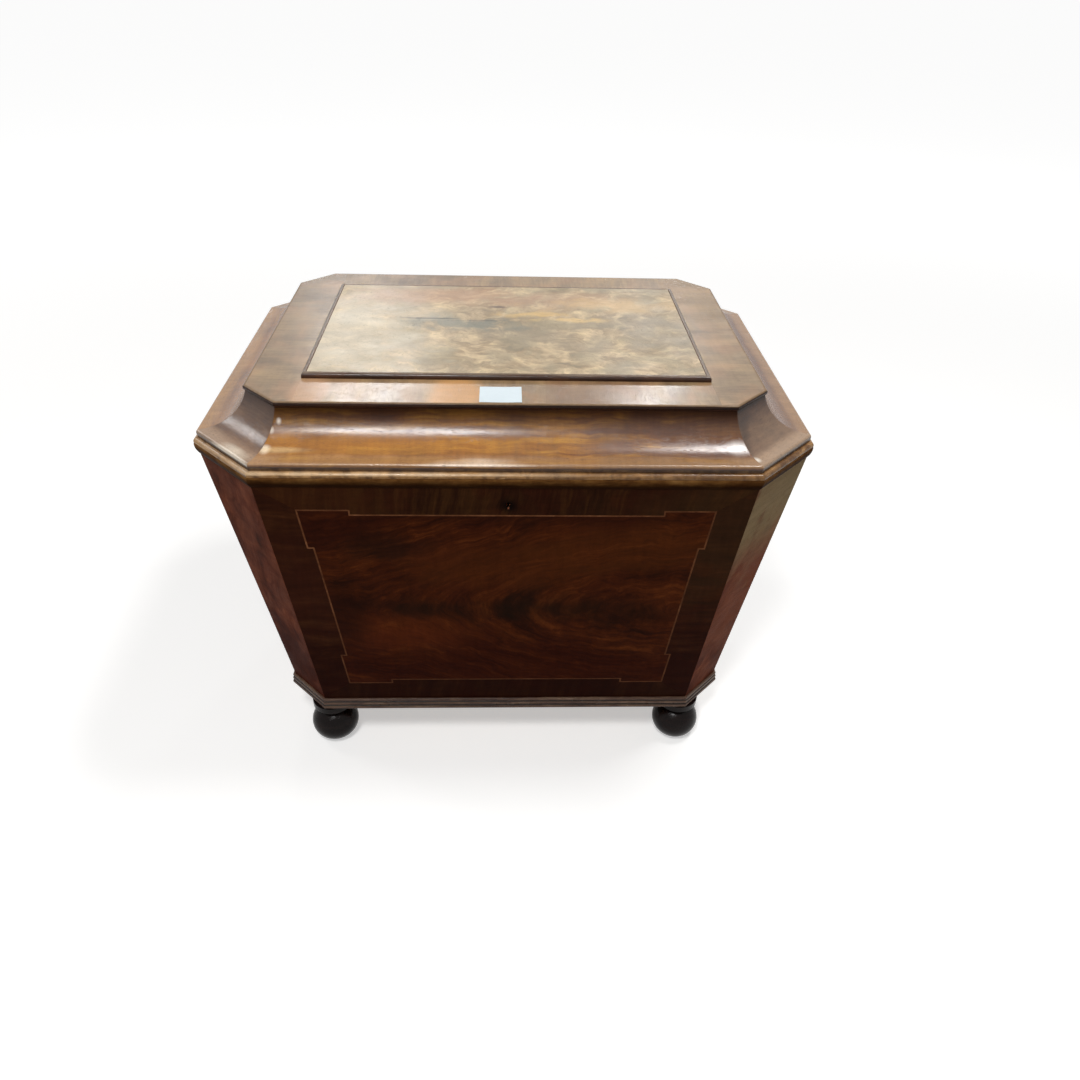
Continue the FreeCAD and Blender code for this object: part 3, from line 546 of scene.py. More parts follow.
FINISHES: dict[str, Wood | Metal | Paper] = {
    # Crotch mahogany under old French polish: soft strokes that sweep up and down from a heart that
    # is nearly black.
    "flame_front": Wood(
        name="crotch_mahogany_veneer_french_polished",
        shades=("#1d0b05", "#301308", "#451e0b", "#5f2f13"),
        shade_places=(0.30, 0.43, 0.54, 0.68),
        marks=(
            Mark("#552a0f", (-0.01, 0.0, 0.335), (0.12, FAR, 0.030), 0.4),
            Mark("#52290f", (0.15, 0.0, 0.365), (0.09, FAR, 0.03), 0.45),
            Mark("#5c2810", (-0.13, 0.0, 0.215), (0.07, FAR, 0.035), 0.5),
            Mark("#1a1009", (0.050, 0.0, 0.262), (0.110, FAR, 0.020), 0.8, 0.9, 1.1),
            Mark("#180a05", (0.178, 0.0, 0.246), (0.026, FAR, 0.016), 0.6, 0.8, 1.2),
            Mark("#20110a", (-0.143, 0.0, 0.366), (0.045, FAR, 0.024), 0.65, 0.8, 1.1),
            Mark("#20120a", (-0.115, 0.0, 0.262), (0.045, FAR, 0.014), 0.65, 0.8, 1.1),
            Mark("#1d0b06", (-0.200, 0.0, 0.240), (0.026, FAR, 0.055), 0.6, 0.8, 1.0),
            Mark("#1b0c07", (0.0, 0.0, 0.425), (0.30, FAR, 0.022), 0.4),
            Mark("#2e0c05", (0.0, 0.0, 0.150), (0.30, FAR, 0.045), 0.55),
            Mark("#2a0d06", (-0.16, 0.0, 0.40), (0.08, FAR, 0.030), 0.4),
        ),
        follows=Follows.SPACE, turn=(-QUARTER, 0.0, 0.0),
        plume=Plume(heart=(-0.03, 0.262), rise=0.056, sweep=0.125, softness=0.049),
        figure_size=(0.16, 0.020), streak_size=(0.07, 0.0042), streak_share=0.45, wander=0.009,
        wander_length=0.06, cloud_colour="#35120a", cloud_size=0.10, cloud_strength=0.4,
        mottle=0.08, pore_strength=0.3, specular=0.01, roughness=0.28),
    # The same wood bleached by light on top: straw and grey-brown clouds under a worn, hazy polish.
    "flame_top": Wood(
        name="faded_crotch_mahogany_veneer_polished",
        shades=("#74654c", "#917b5b", "#ab9473", "#c9b188"),
        shade_places=(0.32, 0.44, 0.54, 0.66),
        marks=(
            # Pale patch on the left of the panel: partly bleached wood, partly painted reflection.
            Mark("#cfc3ab", (-0.20, -0.02, 0.53), (0.09, 0.14, FAR), 0.55, 0.7, 1.0),
            Mark("#b08161", (-0.09, 0.105, 0.53), (0.12, 0.030, FAR), 0.5),
            Mark("#a8866a", (0.08, 0.09, 0.53), (0.08, 0.030, FAR), 0.5),
            Mark("#857a66", (0.20, -0.03, 0.53), (0.050, 0.045, FAR), 0.6, 0.8, 1.2),
            Mark("#7d7261", (0.17, 0.02, 0.53), (0.060, 0.020, FAR), 0.5, 0.8, 1.2),
            Mark("#837660", (0.02, -0.035, 0.53), (0.060, 0.025, FAR), 0.55, 0.8, 1.2),
            Mark("#85765f", (0.10, -0.065, 0.53), (0.045, 0.020, FAR), 0.5, 0.8, 1.2),
            Mark("#d7b06c", (0.040, 0.040, 0.53), (0.040, 0.007, FAR), 0.6, 0.8, 2.0),
            Mark("#d9b679", (0.085, 0.022, 0.53), (0.035, 0.006, FAR), 0.6, 0.8, 2.0),
            Mark("#cfad78", (0.150, 0.075, 0.53), (0.070, 0.018, FAR), 0.5, 0.8, 1.6),
            Mark("#6b6c60", (-0.065, 0.003, 0.53), (0.050, 0.016, FAR), 0.75, 0.8, 1.6),
            Mark("#3b372d", (-0.098, 0.022, 0.53), (0.032, 0.0016, FAR), 0.8, 0.8, 1.0),
            Mark("#3b372d", (-0.040, 0.016, 0.53), (0.026, 0.0014, FAR), 0.6, 0.8, 1.4),
            Mark("#4a3526", (-0.014, 0.066, 0.53), (0.009, 0.004, FAR), 0.85, ragged=0.6),
        ),
        follows=Follows.SPACE,
        plume=Plume(heart=(-0.02, 0.01), rise=0.035, sweep=0.10, softness=0.03),
        figure_size=(0.045, 0.020), streak_size=(0.016, 0.0050), streak_share=0.20, wander=0.020,
        wander_length=0.045, cloud_colour="#877c62", cloud_size=0.042, cloud_strength=0.6,
        mottle=0.09, mottle_size=(0.03, 0.02), pore_colour="#4a3826", pore_size=(0.009, 0.0011),
        specular=0.42, roughness=0.33),
    # Level crossbanding of the front: short dark grain square to the edge, cut from several sheets.
    "banding_front": Wood(
        name="crossbanded_mahogany_french_polished",
        shades=("#1e0d05", "#2b150a", "#38200e", "#472914"),
        marks=(
            # Redder at the left end and greener at the right: partly the wood's tone, partly
            # painted reflection.
            Mark("#42220f", (-0.26, 0.0, 0.44), (0.10, FAR, 0.04), 0.5),
            Mark("#3a2614", (0.28, 0.0, 0.42), (0.12, FAR, 0.06), 0.6),
            # Near-black disc round the keyhole: painted shade.
            Mark("#0a0403", (0.0, 0.0, 0.4285), (0.010, FAR, 0.010), 0.97, ragged=0.4),
            Mark("#220904", (0.0, 0.0, 0.10), (FAR, FAR, 0.06), 0.75),
        ),
        figure_size=(0.12, 0.014), streak_size=(0.06, 0.004), streak_share=0.28, leaf_width=0.06,
        leaf_spread=0.11, cloud_colour="#3c130b", cloud_size=0.05, cloud_strength=0.25,
        pore_strength=0.3, specular=0.01, roughness=0.28),
    # Upright crossbanding of the front: the same, but darker and quieter.
    "banding_upright": Wood(
        name="dark_crossbanded_mahogany_french_polished",
        shades=("#200e06", "#2e150a", "#381c0d", "#452614"),
        marks=(
            # Greener at the right end and redder at the left: partly the wood's tone, partly
            # painted reflection.
            Mark("#352414", (0.27, 0.0, 0.38), (0.07, FAR, 0.10), 0.5),
            Mark("#38180d", (-0.26, 0.0, 0.30), (0.06, FAR, 0.08), 0.5),
            Mark("#220703", (0.0, 0.0, 0.13), (FAR, FAR, 0.08), 0.7),
        ),
        figure_size=(0.09, 0.016), streak_size=(0.05, 0.004), streak_share=0.25, leaf_width=0.08,
        leaf_spread=0.08, cloud_colour="#30100a", cloud_size=0.06, pore_strength=0.25,
        specular=0.01, roughness=0.28),
    # Crossbanding of the top: bleached, with peach, orange and grey-brown leaves side by side.
    "banding_top": Wood(
        name="faded_crossbanded_mahogany_polished",
        shades=("#6c5741", "#7f684c", "#8e7555", "#a3855c"),
        shade_places=(0.30, 0.46, 0.56, 0.70),
        marks=(
            Mark("#b98c68", (-0.22, -0.19, 0.52), (0.020, 0.05, FAR), 0.6, 0.3, 0.3),
            Mark("#c8935a", (-0.06, -0.19, 0.52), (0.030, 0.05, FAR), 0.75, 0.3, 0.3),
            Mark("#76553d", (0.10, -0.19, 0.52), (0.060, 0.05, FAR), 0.5, 0.4, 0.6),
            Mark("#87673a", (0.27, 0.13, 0.52), (0.040, 0.09, FAR), 0.45, 0.5, 0.6),
        ),
        figure_size=(0.12, 0.03), streak_size=(0.08, 0.004), streak_share=0.22, wander=0.003,
        leaf_width=0.11, leaf_spread=0.10, cloud_colour="#a87c56", cloud_size=0.05, mottle=0.06,
        pore_strength=0.2, specular=0.37, roughness=0.18, roughness_spread=0.08),
    # Coves: long amber and brown streaks under a deep gloss; high up in the hollow, dull with
    # old dirt and dark with painted shade under the top board; pale on the lip, partly rubbed and
    # partly a painted highlight; black along the lip's foot; painted glints at the mitres and a
    # painted end to the right highlight.
    "cove": Wood(
        name="figured_mahogany_cove_french_polished",
        shades=("#4e280b", "#7d4a14", "#9f6a20", "#c28c33"),
        shade_places=(0.30, 0.45, 0.56, 0.70),
        marks=(
            Mark("#553322", (0.31, -0.25, 0.49), (0.24, FAR, FAR), 0.75, 0.6, 0.9),
            Mark("#6d4c36", (-0.34, -0.25, 0.49), (0.06, FAR, FAR), 0.5, 0.5, 0.8),
            Mark("#bd7c28", (-0.16, -0.25, 0.488), (0.16, FAR, 0.006), 0.5, 0.8, 0.9),
            # Dark high up in the hollow: painted shade under the top board.
            Mark("#241006", (0.0, 0.0, 0.527), (FAR, FAR, 0.022), 0.94, 0.9, 0.2),
            # Pale along the lip: partly rubbed, partly a painted highlight.
            Mark("#c09a70", (0.0, 0.0, 0.4800), (FAR, FAR, 0.0016), 0.4, 0.7, 0.5),
            # Bright streak on the lip: a painted highlight.
            Mark("#f0dcc6", (-0.035, -0.267, 0.4795), (0.050, FAR, 0.0013), 0.7, 0.5, 0.3),
            Mark("#2c170a", (0.0, 0.0, 0.4757), (FAR, FAR, 0.0010), 0.75, 0.5, 0.2),
            # Pale spots at the mitres and the curled end of the right highlight: painted glints and
            # highlight.
            Mark("#f3e9dc", (-0.249, -0.217, 0.5055), (0.0022, 0.03, 0.0026), 0.7, 0.8, 0.3),
            Mark("#e9dccb", (-0.2570, -0.223, 0.4975), (0.0022, 0.03, 0.0024), 0.65, 0.8, 0.3),
            Mark("#f6e8d0", (-0.262, -0.240, 0.4845), (0.0045, 0.03, 0.0017), 0.75, 0.8, 0.3),
            Mark("#e8c890", (-0.245, -0.240, 0.4840), (0.025, 0.03, 0.0012), 0.4, 0.8, 0.4),
            Mark("#e6e0da", (0.254, -0.235, 0.4875), (0.010, 0.03, 0.0035), 0.6, 0.8, 0.3),
        ),
        figure_size=(0.2, 0.010), streak_size=(0.08, 0.0035), cloud_colour="#4a260f",
        cloud_size=0.11, cloud_strength=0.4, roughness=0.17, roughness_spread=0.10,
        dirt=(0.498, 0.518), gloss_under_dirt=0.1),
    # Canted corners of the coves: more even, and greyer with a painted reflection of the bright
    # surroundings; painted shade high in the hollow and beside the mitres, painted highlights on
    # the lip, black along the lip's foot, and dull with old dirt high up.
    "cove_corner": Wood(
        name="plain_mahogany_cove_french_polished",
        shades=("#493020", "#634632", "#73543c", "#88674b"),
        marks=(
            Mark("#a58e74", (0.34, -0.24, 0.49), (0.08, 0.08, 0.020), 0.25, 0.7, 0.5),
            # Dark high up, most of all at the front-right corner: painted shade.
            Mark("#2a170c", (0.34, -0.24, 0.53), (0.08, 0.08, 0.030), 0.85, 0.9, 0.4),
            Mark("#33190b", (0.0, 0.0, 0.524), (FAR, FAR, 0.018), 0.85, 0.8, 0.2),
            # Pale along the lip: partly rubbed, partly a painted highlight.
            Mark("#b89a7c", (0.0, 0.0, 0.4800), (FAR, FAR, 0.0018), 0.5, 0.7, 0.5),
            # Bright band on the front-left lip: a painted highlight.
            Mark("#f0e2cc", (-0.293, -0.236, 0.4780), (0.036, 0.036, 0.0029), 0.7, 0.25, 0.1),
            # Dark beside the left mitre, high up: painted shade.
            Mark("#4a2e1c", (-0.262, -0.225, 0.5150), (0.020, 0.05, 0.012), 0.6, 0.8, 0.3),
            # Glint on the front-right lip: a painted highlight.
            Mark("#f2ece0", (0.272, -0.2540, 0.4822), (0.0040, 0.004, 0.0018), 0.75, 0.7, 0.3),
            # Dark beside the right mitre: painted shade.
            Mark("#2a1b10", (0.262, -0.225, 0.5000), (0.0070, 0.04, 0.020), 0.55, 0.8, 0.3),
            Mark("#2c170a", (0.0, 0.0, 0.4757), (FAR, FAR, 0.0010), 0.75, 0.5, 0.2),
        ),
        figure_size=(0.06, 0.02), streak_size=(0.05, 0.004), cloud_colour="#5a4031",
        cloud_size=0.05, mottle=0.06, specular=0.45, roughness=0.15, roughness_spread=0.08,
        dirt=(0.502, 0.524), gloss_under_dirt=0.3),
    # Edge of the top board: black with painted shade, with a painted highlight along its upper
    # arris.
    "edge": Wood(
        name="mahogany_board_edge_french_polished",
        shades=("#1a0c06", "#28140a", "#341c0f", "#442815"),
        # Pale line along the upper arris: painted highlight.
        marks=(Mark("#9a7d5c", (0.0, 0.0, 0.5262), (FAR, FAR, 0.0012), 0.6, 0.5, 0.3),),
        figure_size=(0.2, 0.009), streak_size=(0.08, 0.003), cloud_colour="#1c0e07",
        cloud_size=0.07, specular=0.12, roughness=0.2),
    # Bead of the rim: golden where two centuries of hands rubbed it, with a painted highlight along
    # its top; dark in its nicks and neck.
    "nosing": Wood(
        name="mahogany_nosing_french_polished",
        shades=("#5f3b1d", "#8a6338", "#a67c4c", "#c39c6a"),
        shade_places=(0.32, 0.44, 0.56, 0.70),
        marks=(
            # Pale line along the top of the bead: painted highlight.
            Mark("#e6c59c", (-0.16, 0.0, 0.4700), (0.22, FAR, 0.0013), 0.6, 0.8, 0.9),
            Mark("#5f4128", (0.20, 0.0, 0.4680), (0.16, FAR, 0.0060), 0.6, 0.7, 0.9),
            Mark("#2c170a", (0.0, 0.0, 0.4738), (FAR, FAR, 0.0019), 0.7, 0.4, 0.1),
        ),
        figure_size=(0.05, 0.012), streak_size=(0.03, 0.003), cloud_colour="#452711",
        cloud_size=0.014, cloud_strength=0.75, specular=0.2, roughness=0.14, roughness_spread=0.14),
    # Band under the bead: darker than the bead, painted shade where it faces down, black with
    # painted shadow at its foot, no shine.
    "nosing_under": Wood(
        name="mahogany_nosing_foot_painted_shade",
        shades=("#452913", "#694522", "#7d562d", "#936d40"),
        # Black at the foot: painted shadow.
        marks=(Mark("#200d04", (0.0, 0.0, 0.4530), (FAR, FAR, 0.0080), 0.95, 0.7, 0.3),),
        figure_size=(0.05, 0.015), streak_size=(0.05, 0.003), cloud_colour="#40220f",
        cloud_size=0.03, cloud_strength=0.45, specular=0.005, roughness=0.4),
    # Bead round the panel: dark with dirt in its quirk, with a grey painted highlight along its
    # top.
    "bead": Wood(
        name="mahogany_bead_french_polished",
        shades=("#23130a", "#362013", "#472b1a", "#5e3e26"),
        # Grey line along the top: painted highlight.
        marks=(Mark("#84715e", (0.0, 0.0, 0.5322), (FAR, FAR, 0.0009), 0.6, 0.6, 0.9),),
        figure_size=(0.06, 0.012), streak_size=(0.05, 0.003), cloud_colour="#2a180e",
        cloud_size=0.05, cloud_strength=0.3, specular=0.3, roughness=0.16),
    # Canted corners: blotchy red-brown figure.
    "post": Wood(
        name="mottled_mahogany_french_polished",
        shades=("#3a1a10", "#572a1b", "#6b3826", "#854b33"),
        marks=(
            # Front-right post: a painted grey reflection high up and painted light lower down.
            Mark("#9c8662", (0.34, -0.22, 0.42), (0.10, 0.10, 0.10), 0.85, 0.5),
            Mark("#8a4d33", (0.31, -0.20, 0.26), (0.08, 0.08, 0.09), 0.6, 0.5),
            Mark("#3a150d", (-0.27, -0.18, 0.14), (0.08, 0.08, 0.08), 0.8),
        ),
        figure_size=(0.05, 0.03), streak_size=(0.06, 0.004), wander=0.012, cloud_colour="#7a4632",
        cloud_size=0.045, cloud_strength=0.45, mottle=0.12, specular=0.002, roughness=0.3),
    # Sides and back: plainer figured veneer.
    "side": Wood(
        name="figured_mahogany_veneer_french_polished",
        shades=("#2a130b", "#432213", "#552e1a", "#6b3d22"),
        figure_size=(0.3, 0.022), streak_size=(0.08, 0.004), wander=0.007, cloud_colour="#3c180e",
        cloud_size=0.12, specular=0.02, roughness=0.28),
    # Base moulding: grey-brown under the old polish, with dark lines between its reeds.
    "base": Wood(
        name="reeded_mahogany_polished",
        shades=("#392720", "#563f33", "#68503f", "#806955"),
        marks=(
            Mark("#120a06", (0.0, 0.0, 0.0742), (FAR, FAR, 0.0010), 0.9, 0.5, 0.2),
            Mark("#120a06", (0.0, 0.0, 0.0803), (FAR, FAR, 0.0010), 0.9, 0.5, 0.2),
        ),
        figure_size=(0.12, 0.006), streak_size=(0.05, 0.003), cloud_colour="#2c1b13",
        cloud_size=0.06, specular=0.2),
    # Bun feet: turned, ebonised by dirt and polish.
    "foot": Wood(
        name="turned_dark_mahogany_french_polished",
        shades=("#090504", "#120908", "#1b0f0c", "#2a1712"),
        shade_places=(0.32, 0.50, 0.62, 0.76),
        follows=Follows.SPACE, figure_size=(0.08, 0.008), streak_size=(0.03, 0.002),
        cloud_colour="#100a08", cloud_size=0.02, roughness=0.16, roughness_spread=0.10,
        specular=0.12),
    # Unpolished mahogany inside and on the meeting edges.
    "bare": Wood(
        name="bare_mahogany_planed",
        shades=("#5a3220", "#744430", "#855139", "#996347"),
        shade_places=(0.30, 0.46, 0.58, 0.74),
        follows=Follows.SPACE, figure_size=(0.2, 0.014), cloud_colour="#5b382a", roughness=0.6,
        specular=0.25, sag_depth=0.00002),
    # Boxwood string, stained tan by two centuries of polish.
    "string": Wood(
        name="boxwood_string_polished",
        shades=("#4f2e1e", "#6a422a", "#7e5237", "#946543"),
        shade_places=(0.32, 0.50, 0.62, 0.76),
        marks=(Mark("#45281a", (0.0, 0.0, 0.12), (FAR, FAR, 0.14), 0.6, 0.7, 0.5),),
        follows=Follows.SPACE, figure_size=(0.03, 0.03), streak_size=(0.008, 0.008),
        cloud_colour="#402213", cloud_size=0.02, cloud_strength=0.4, pore_strength=0.1,
        specular=0.01, roughness=0.3),
    # Pine bottom board, planed and dusty.
    "pine": Wood(
        name="planed_pine_bare",
        shades=("#7f5f3c", "#a27c50", "#b48d5e", "#c39d6c"),
        shade_places=(0.30, 0.46, 0.58, 0.74),
        follows=Follows.SPACE, figure_size=(0.4, 0.018), cloud_colour="#77573a", pore_strength=0.1,
        roughness=0.7, specular=0.2),
    # Cast and filed brass, browned in its low places.
    "brass": Metal(name="aged_cast_brass", bright="#c09a55", tarnish="#5d4423"),
    # The same brass inside the lock, blackened by oil and dust, and darkened further as painted
    # shade behind the keyhole.
    "dark_brass": Metal(name="blackened_cast_brass", bright="#3a2d1a", tarnish="#171009",
                        roughness=0.55),
    # Forged steel bolt with a grey bloom.
    "steel": Metal(name="aged_forged_steel", bright="#8d8a86", tarnish="#4a443e", roughness=0.38),
    # Rolled zinc sheet gone dull, with a chalky bloom in patches.
    "zinc": Metal(name="rolled_zinc_sheet_dull", bright="#8e9496", tarnish="#6a7072",
                  metallic=0.85, roughness=0.42, tarnish_size=0.045, tarnish_share=0.8,
                  scratch_size=(0.05, 0.0012)),
    # Blank card ticket.
    "paper": Paper(name="card_ticket_uncoated", face="#d3dde1", fibre="#bcc8ce"),
}


class Workshop:
    """Makes each finish once, when a piece first asks for it."""

    def __init__(self) -> None:
        """Starts with no material made."""
        self.made: dict[str, bpy.types.Material] = {}

    def finish(self, name: str) -> bpy.types.Material:
        """Looks up the material of a finish, and makes it if need be.

        Args:
            name: The finish's name.

        Returns:
            Its material.
        """
        if name not in self.made:
            self.made[name] = FINISHES[name].make()
        return self.made[name]

    def dress(self, finish: str, *nodes: str) -> None:
        """Gives carried-over nodes a finish in all their slots.

        Args:
            finish: The finish's name.
            *nodes: The nodes' names.
        """
        for node in nodes:
            for slot in frame["nodes"][node].material_slots:
                slot.material = self.finish(finish)
            log.info("%s dressed in %s", node, finish)


# --- Objects and meshes -------------------------------------------------------------------------

def put(name: str, data: bpy.types.ID) -> bpy.types.Object:
    """Adds a new object to the scene.

    Args:
        name: The object's name.
        data: Its mesh, lamp or camera.

    Returns:
        The object.
    """
    thing = bpy.data.objects.new(name, data)
    bpy.context.scene.collection.objects.link(thing)
    return thing


def joined_copy(node: str) -> Mesh:
    """Copies a frame node's mesh and joins its loose triangles.

    Args:
        node: The node's name.

    Returns:
        The copy, still in triangles.
    """
    work = bmesh.new()
    work.from_mesh(frame["nodes"][node].data)
    bmesh.ops.remove_doubles(work, verts=work.verts, dist=SAME)
    return work


def flatten(work: Mesh) -> Mesh:
    """Dissolves the triangles of a mesh into flat faces.

    Args:
        work: The mesh.

    Returns:
        The same mesh.
    """
    bmesh.ops.dissolve_limit(work, angle_limit=FLAT, verts=work.verts, edges=work.edges)
    return work


def solids(node: str, scrap: int = 8) -> list[Mesh]:
    """Splits a node into its separate solids, which may touch each other.

    Args:
        node: The node's name.
        scrap: Groups of fewer triangles are ends that two solids share, not solids.

    Returns:
        One closed mesh for each solid.
    """
    work = joined_copy(node)
    mark = work.faces.layers.int.new("solid")
    sizes = [0]
    for seed in work.faces:
        if seed[mark]:
            continue
        sizes.append(0)
        seed[mark] = len(sizes) - 1
        reached = [seed]
        while reached:
            face = reached.pop()
            sizes[-1] += 1
            for edge in face.edges:
                if len(edge.link_faces) != 2:
                    continue
                for other in edge.link_faces:
                    if not other[mark]:
                        other[mark] = seed[mark]
                        reached.append(other)
    parts = []
    for number, size in enumerate(sizes):
        if size < scrap:
            continue
        part = work.copy()
        layer = part.faces.layers.int["solid"]
        others = [face for face in part.faces if face[layer] != number]
        bmesh.ops.delete(part, geom=others, context="FACES")
        rims = [edge for edge in part.edges if edge.is_boundary]
        bmesh.ops.holes_fill(part, edges=rims, sides=0)
        bmesh.ops.recalc_face_normals(part, faces=part.faces)
        parts.append(flatten(part))
    work.free()
    return parts


def whole(faces: Iterable[Face]) -> list[Any]:
    """Gives faces together with all their edges and vertices.

    Args:
        faces: The faces.

    Returns:
        The faces, then their edges, then their vertices.
    """
    edges = {edge for face in faces for edge in face.edges}
    verts = {vert for face in faces for vert in face.verts}
    return [*faces, *edges, *verts]


def push_out(work: Mesh, faces: list[Face]) -> tuple[list[Vert], list[Face]]:
    """Extrudes faces without leaving the old ones behind inside the mesh.

    Args:
        work: The mesh.
        faces: The faces, which belong together.

    Returns:
        The new vertices and faces, still in the old place.
    """
    made = bmesh.ops.extrude_face_region(work, geom=whole(faces))["geom"]
    verts, new_faces = ([item for item in made if isinstance(item, kind)] for kind in (Vert, Face))
    return verts, new_faces


def round_off(work: Mesh, edges: list[bmesh.types.BMEdge], width: float, segments: int) -> None:
    """Rounds edges.

    Args:
        work: The mesh.
        edges: The edges.
        width: Width of the round.
        segments: Faces across the round.
    """
    bmesh.ops.bevel(work, geom=edges, offset=width, offset_type="OFFSET", segments=segments,
                    profile=0.5, affect="EDGES", clamp_overlap=True, material=-1)


def ease_edges(work: Mesh, width: float, segments: int = 2, longer_than: float = 20 * MM,
               sharper_than: float = 25.0) -> None:
    """Rounds the long sharp edges of a mesh.

    Args:
        work: The mesh.
        width: Width of the round.
        segments: Faces across the round.
        longer_than: Shorter edges stay as they are.
        sharper_than: Edges that turn less stay as they are, in degrees.
    """
    turn = math.radians(sharper_than)
    sharp = [edge for edge in work.edges
             if edge.calc_length() > longer_than and edge.calc_face_angle(0.0) > turn]
    round_off(work, sharp, width, segments)


def lay_grain(work: Mesh, along: Vector, across: Vector, shift: float,
              side_share: float = 0.37) -> None:
    """Writes the grain map of a flat-sided piece, in metres.

    Args:
        work: The mesh.
        along: Direction of the grain.
        across: Direction across the grain in the show face.
        shift: Moves the pattern, so that no two pieces match.
        side_share: How much of the shift also goes across the grain.
    """
    grain = work.loops.layers.uv.get(GRAIN) or work.loops.layers.uv.new(GRAIN)
    depth = along.cross(across)
    for face in work.faces:
        for loop in face.loops:
            place = loop.vert.co
            loop[grain].uv = (place.dot(along) + shift,
                              place.dot(across) + place.dot(depth) + shift * side_share)


@dataclass
class Piece:
    """A finished mesh on its way into the scene, with the names of its finishes."""

    work: Mesh
    name: str
    body: str
    finishes: tuple[str, ...]
    stands_for: str
    slot: str
    smooth_below: float = 35.0

    def place(self, shop: Workshop) -> None:
        """Makes the object, shades it, and lets it ride on its body in place of its node.

        Args:
            shop: The workshop that makes its finishes.
        """
        self.work.normal_update()
        for face in self.work.faces:
            face.smooth = True
        for edge in self.work.edges:
            edge.smooth = edge.calc_face_angle(0.0) < math.radians(self.smooth_below)
        mesh = bpy.data.meshes.new(self.name)
        self.work.to_mesh(mesh)
        self.work.free()
        for finish in self.finishes:
            mesh.materials.append(shop.finish(finish))
        thing = put(self.name, mesh)
        flats = thing.modifiers.new("flat_faces_stay_flat", "WEIGHTED_NORMAL")
        flats.keep_sharp = True
        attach(thing, self.body)
        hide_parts(self.stands_for)
        log.info("%s: %d faces", self.name, len(mesh.polygons))


# --- Plans and mouldings ------------------------------------------------------------------------

class Side(Enum):
    """Sides of the chest, each with the way it faces, in degrees from +X."""

    FRONT = -90.0
    FRONT_RIGHT = -45.0
    RIGHT = 0.0
    BACK_RIGHT = 45.0
    BACK = 90.0
    BACK_LEFT = 135.0
    LEFT = 180.0
    FRONT_LEFT = -135.0

    @property
    def canted(self) -> bool:
        """True for the four corners."""
        return self.value % 90.0 != 0.0

    @property
    def node_end(self) -> str:
        """How a lid node's name ends on this side."""
        return ("corner_" if self.canted else "") + self.name.lower()

    @property
    def outward(self) -> Vector:
        """Unit vector out of this side."""
        angle = math.radians(self.value)
        return Vector((math.cos(angle), math.sin(angle), 0.0))

    @property
    def along(self) -> Vector:
        """Unit vector along this side."""
        return UP.cross(self.outward)


@dataclass(frozen=True)
class Plan:
    """Outline of a ring of moulding, seen from above."""

    half_width: float
    half_depth: float
    front_half_length: float

    @classmethod
    def of_nodes(cls, front: str, right: str) -> "Plan":
        """Reads the plan from the front and the right length of a ring."""
        low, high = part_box(front)
        return cls(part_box(right)[1].x, -low.y, high.x)

    @property
    def half_turn(self) -> float:
        """Half the angle between two neighbouring sides."""
        return math.radians(45.0 if self.cant < MM else 22.5)

    @property
    def cant(self) -> float:
        """How much of each corner is cut off, measured along a side."""
        return self.half_width - self.front_half_length

    def middle(self, side: Side) -> Vector:
        """Finds the middle of a side.

        Args:
            side: The side.

        Returns:
            Its middle, at height 0.
        """
        share = 0.5 if side.canted else 0.0
        x, y = (
            math.copysign(half - share * self.cant, way) if abs(way) > 0.5 else 0.0
            for half, way in zip((self.half_width, self.half_depth), side.outward)
        )
        return Vector((x, y, 0.0))

    def half_length(self, side: Side) -> float:
        """Finds half the length of a side.

        Args:
            side: The side.

        Returns:
            Half its length, on the widest line.
        """
        if side.canted:
            return self.cant / math.sqrt(2)
        if side in (Side.FRONT, Side.BACK):
            return self.front_half_length
        return self.half_depth - self.cant


def arc(centre: Pair, radius: float, start: float, end: float, steps: int) -> list[Pair]:
    """Points of an arc, both ends included.

    Args:
        centre: Centre of the arc.
        radius: Radius of the arc.
        start: Angle of the first point, in degrees from the first axis.
        end: Angle of the last point.
        steps: Number of straight steps.

    Returns:
        The points in order.
    """
    turns = (math.radians(start + (end - start) * step / steps) for step in range(steps + 1))
    return [(centre[0] + radius * math.cos(turn), centre[1] + radius * math.sin(turn))
            for turn in turns]


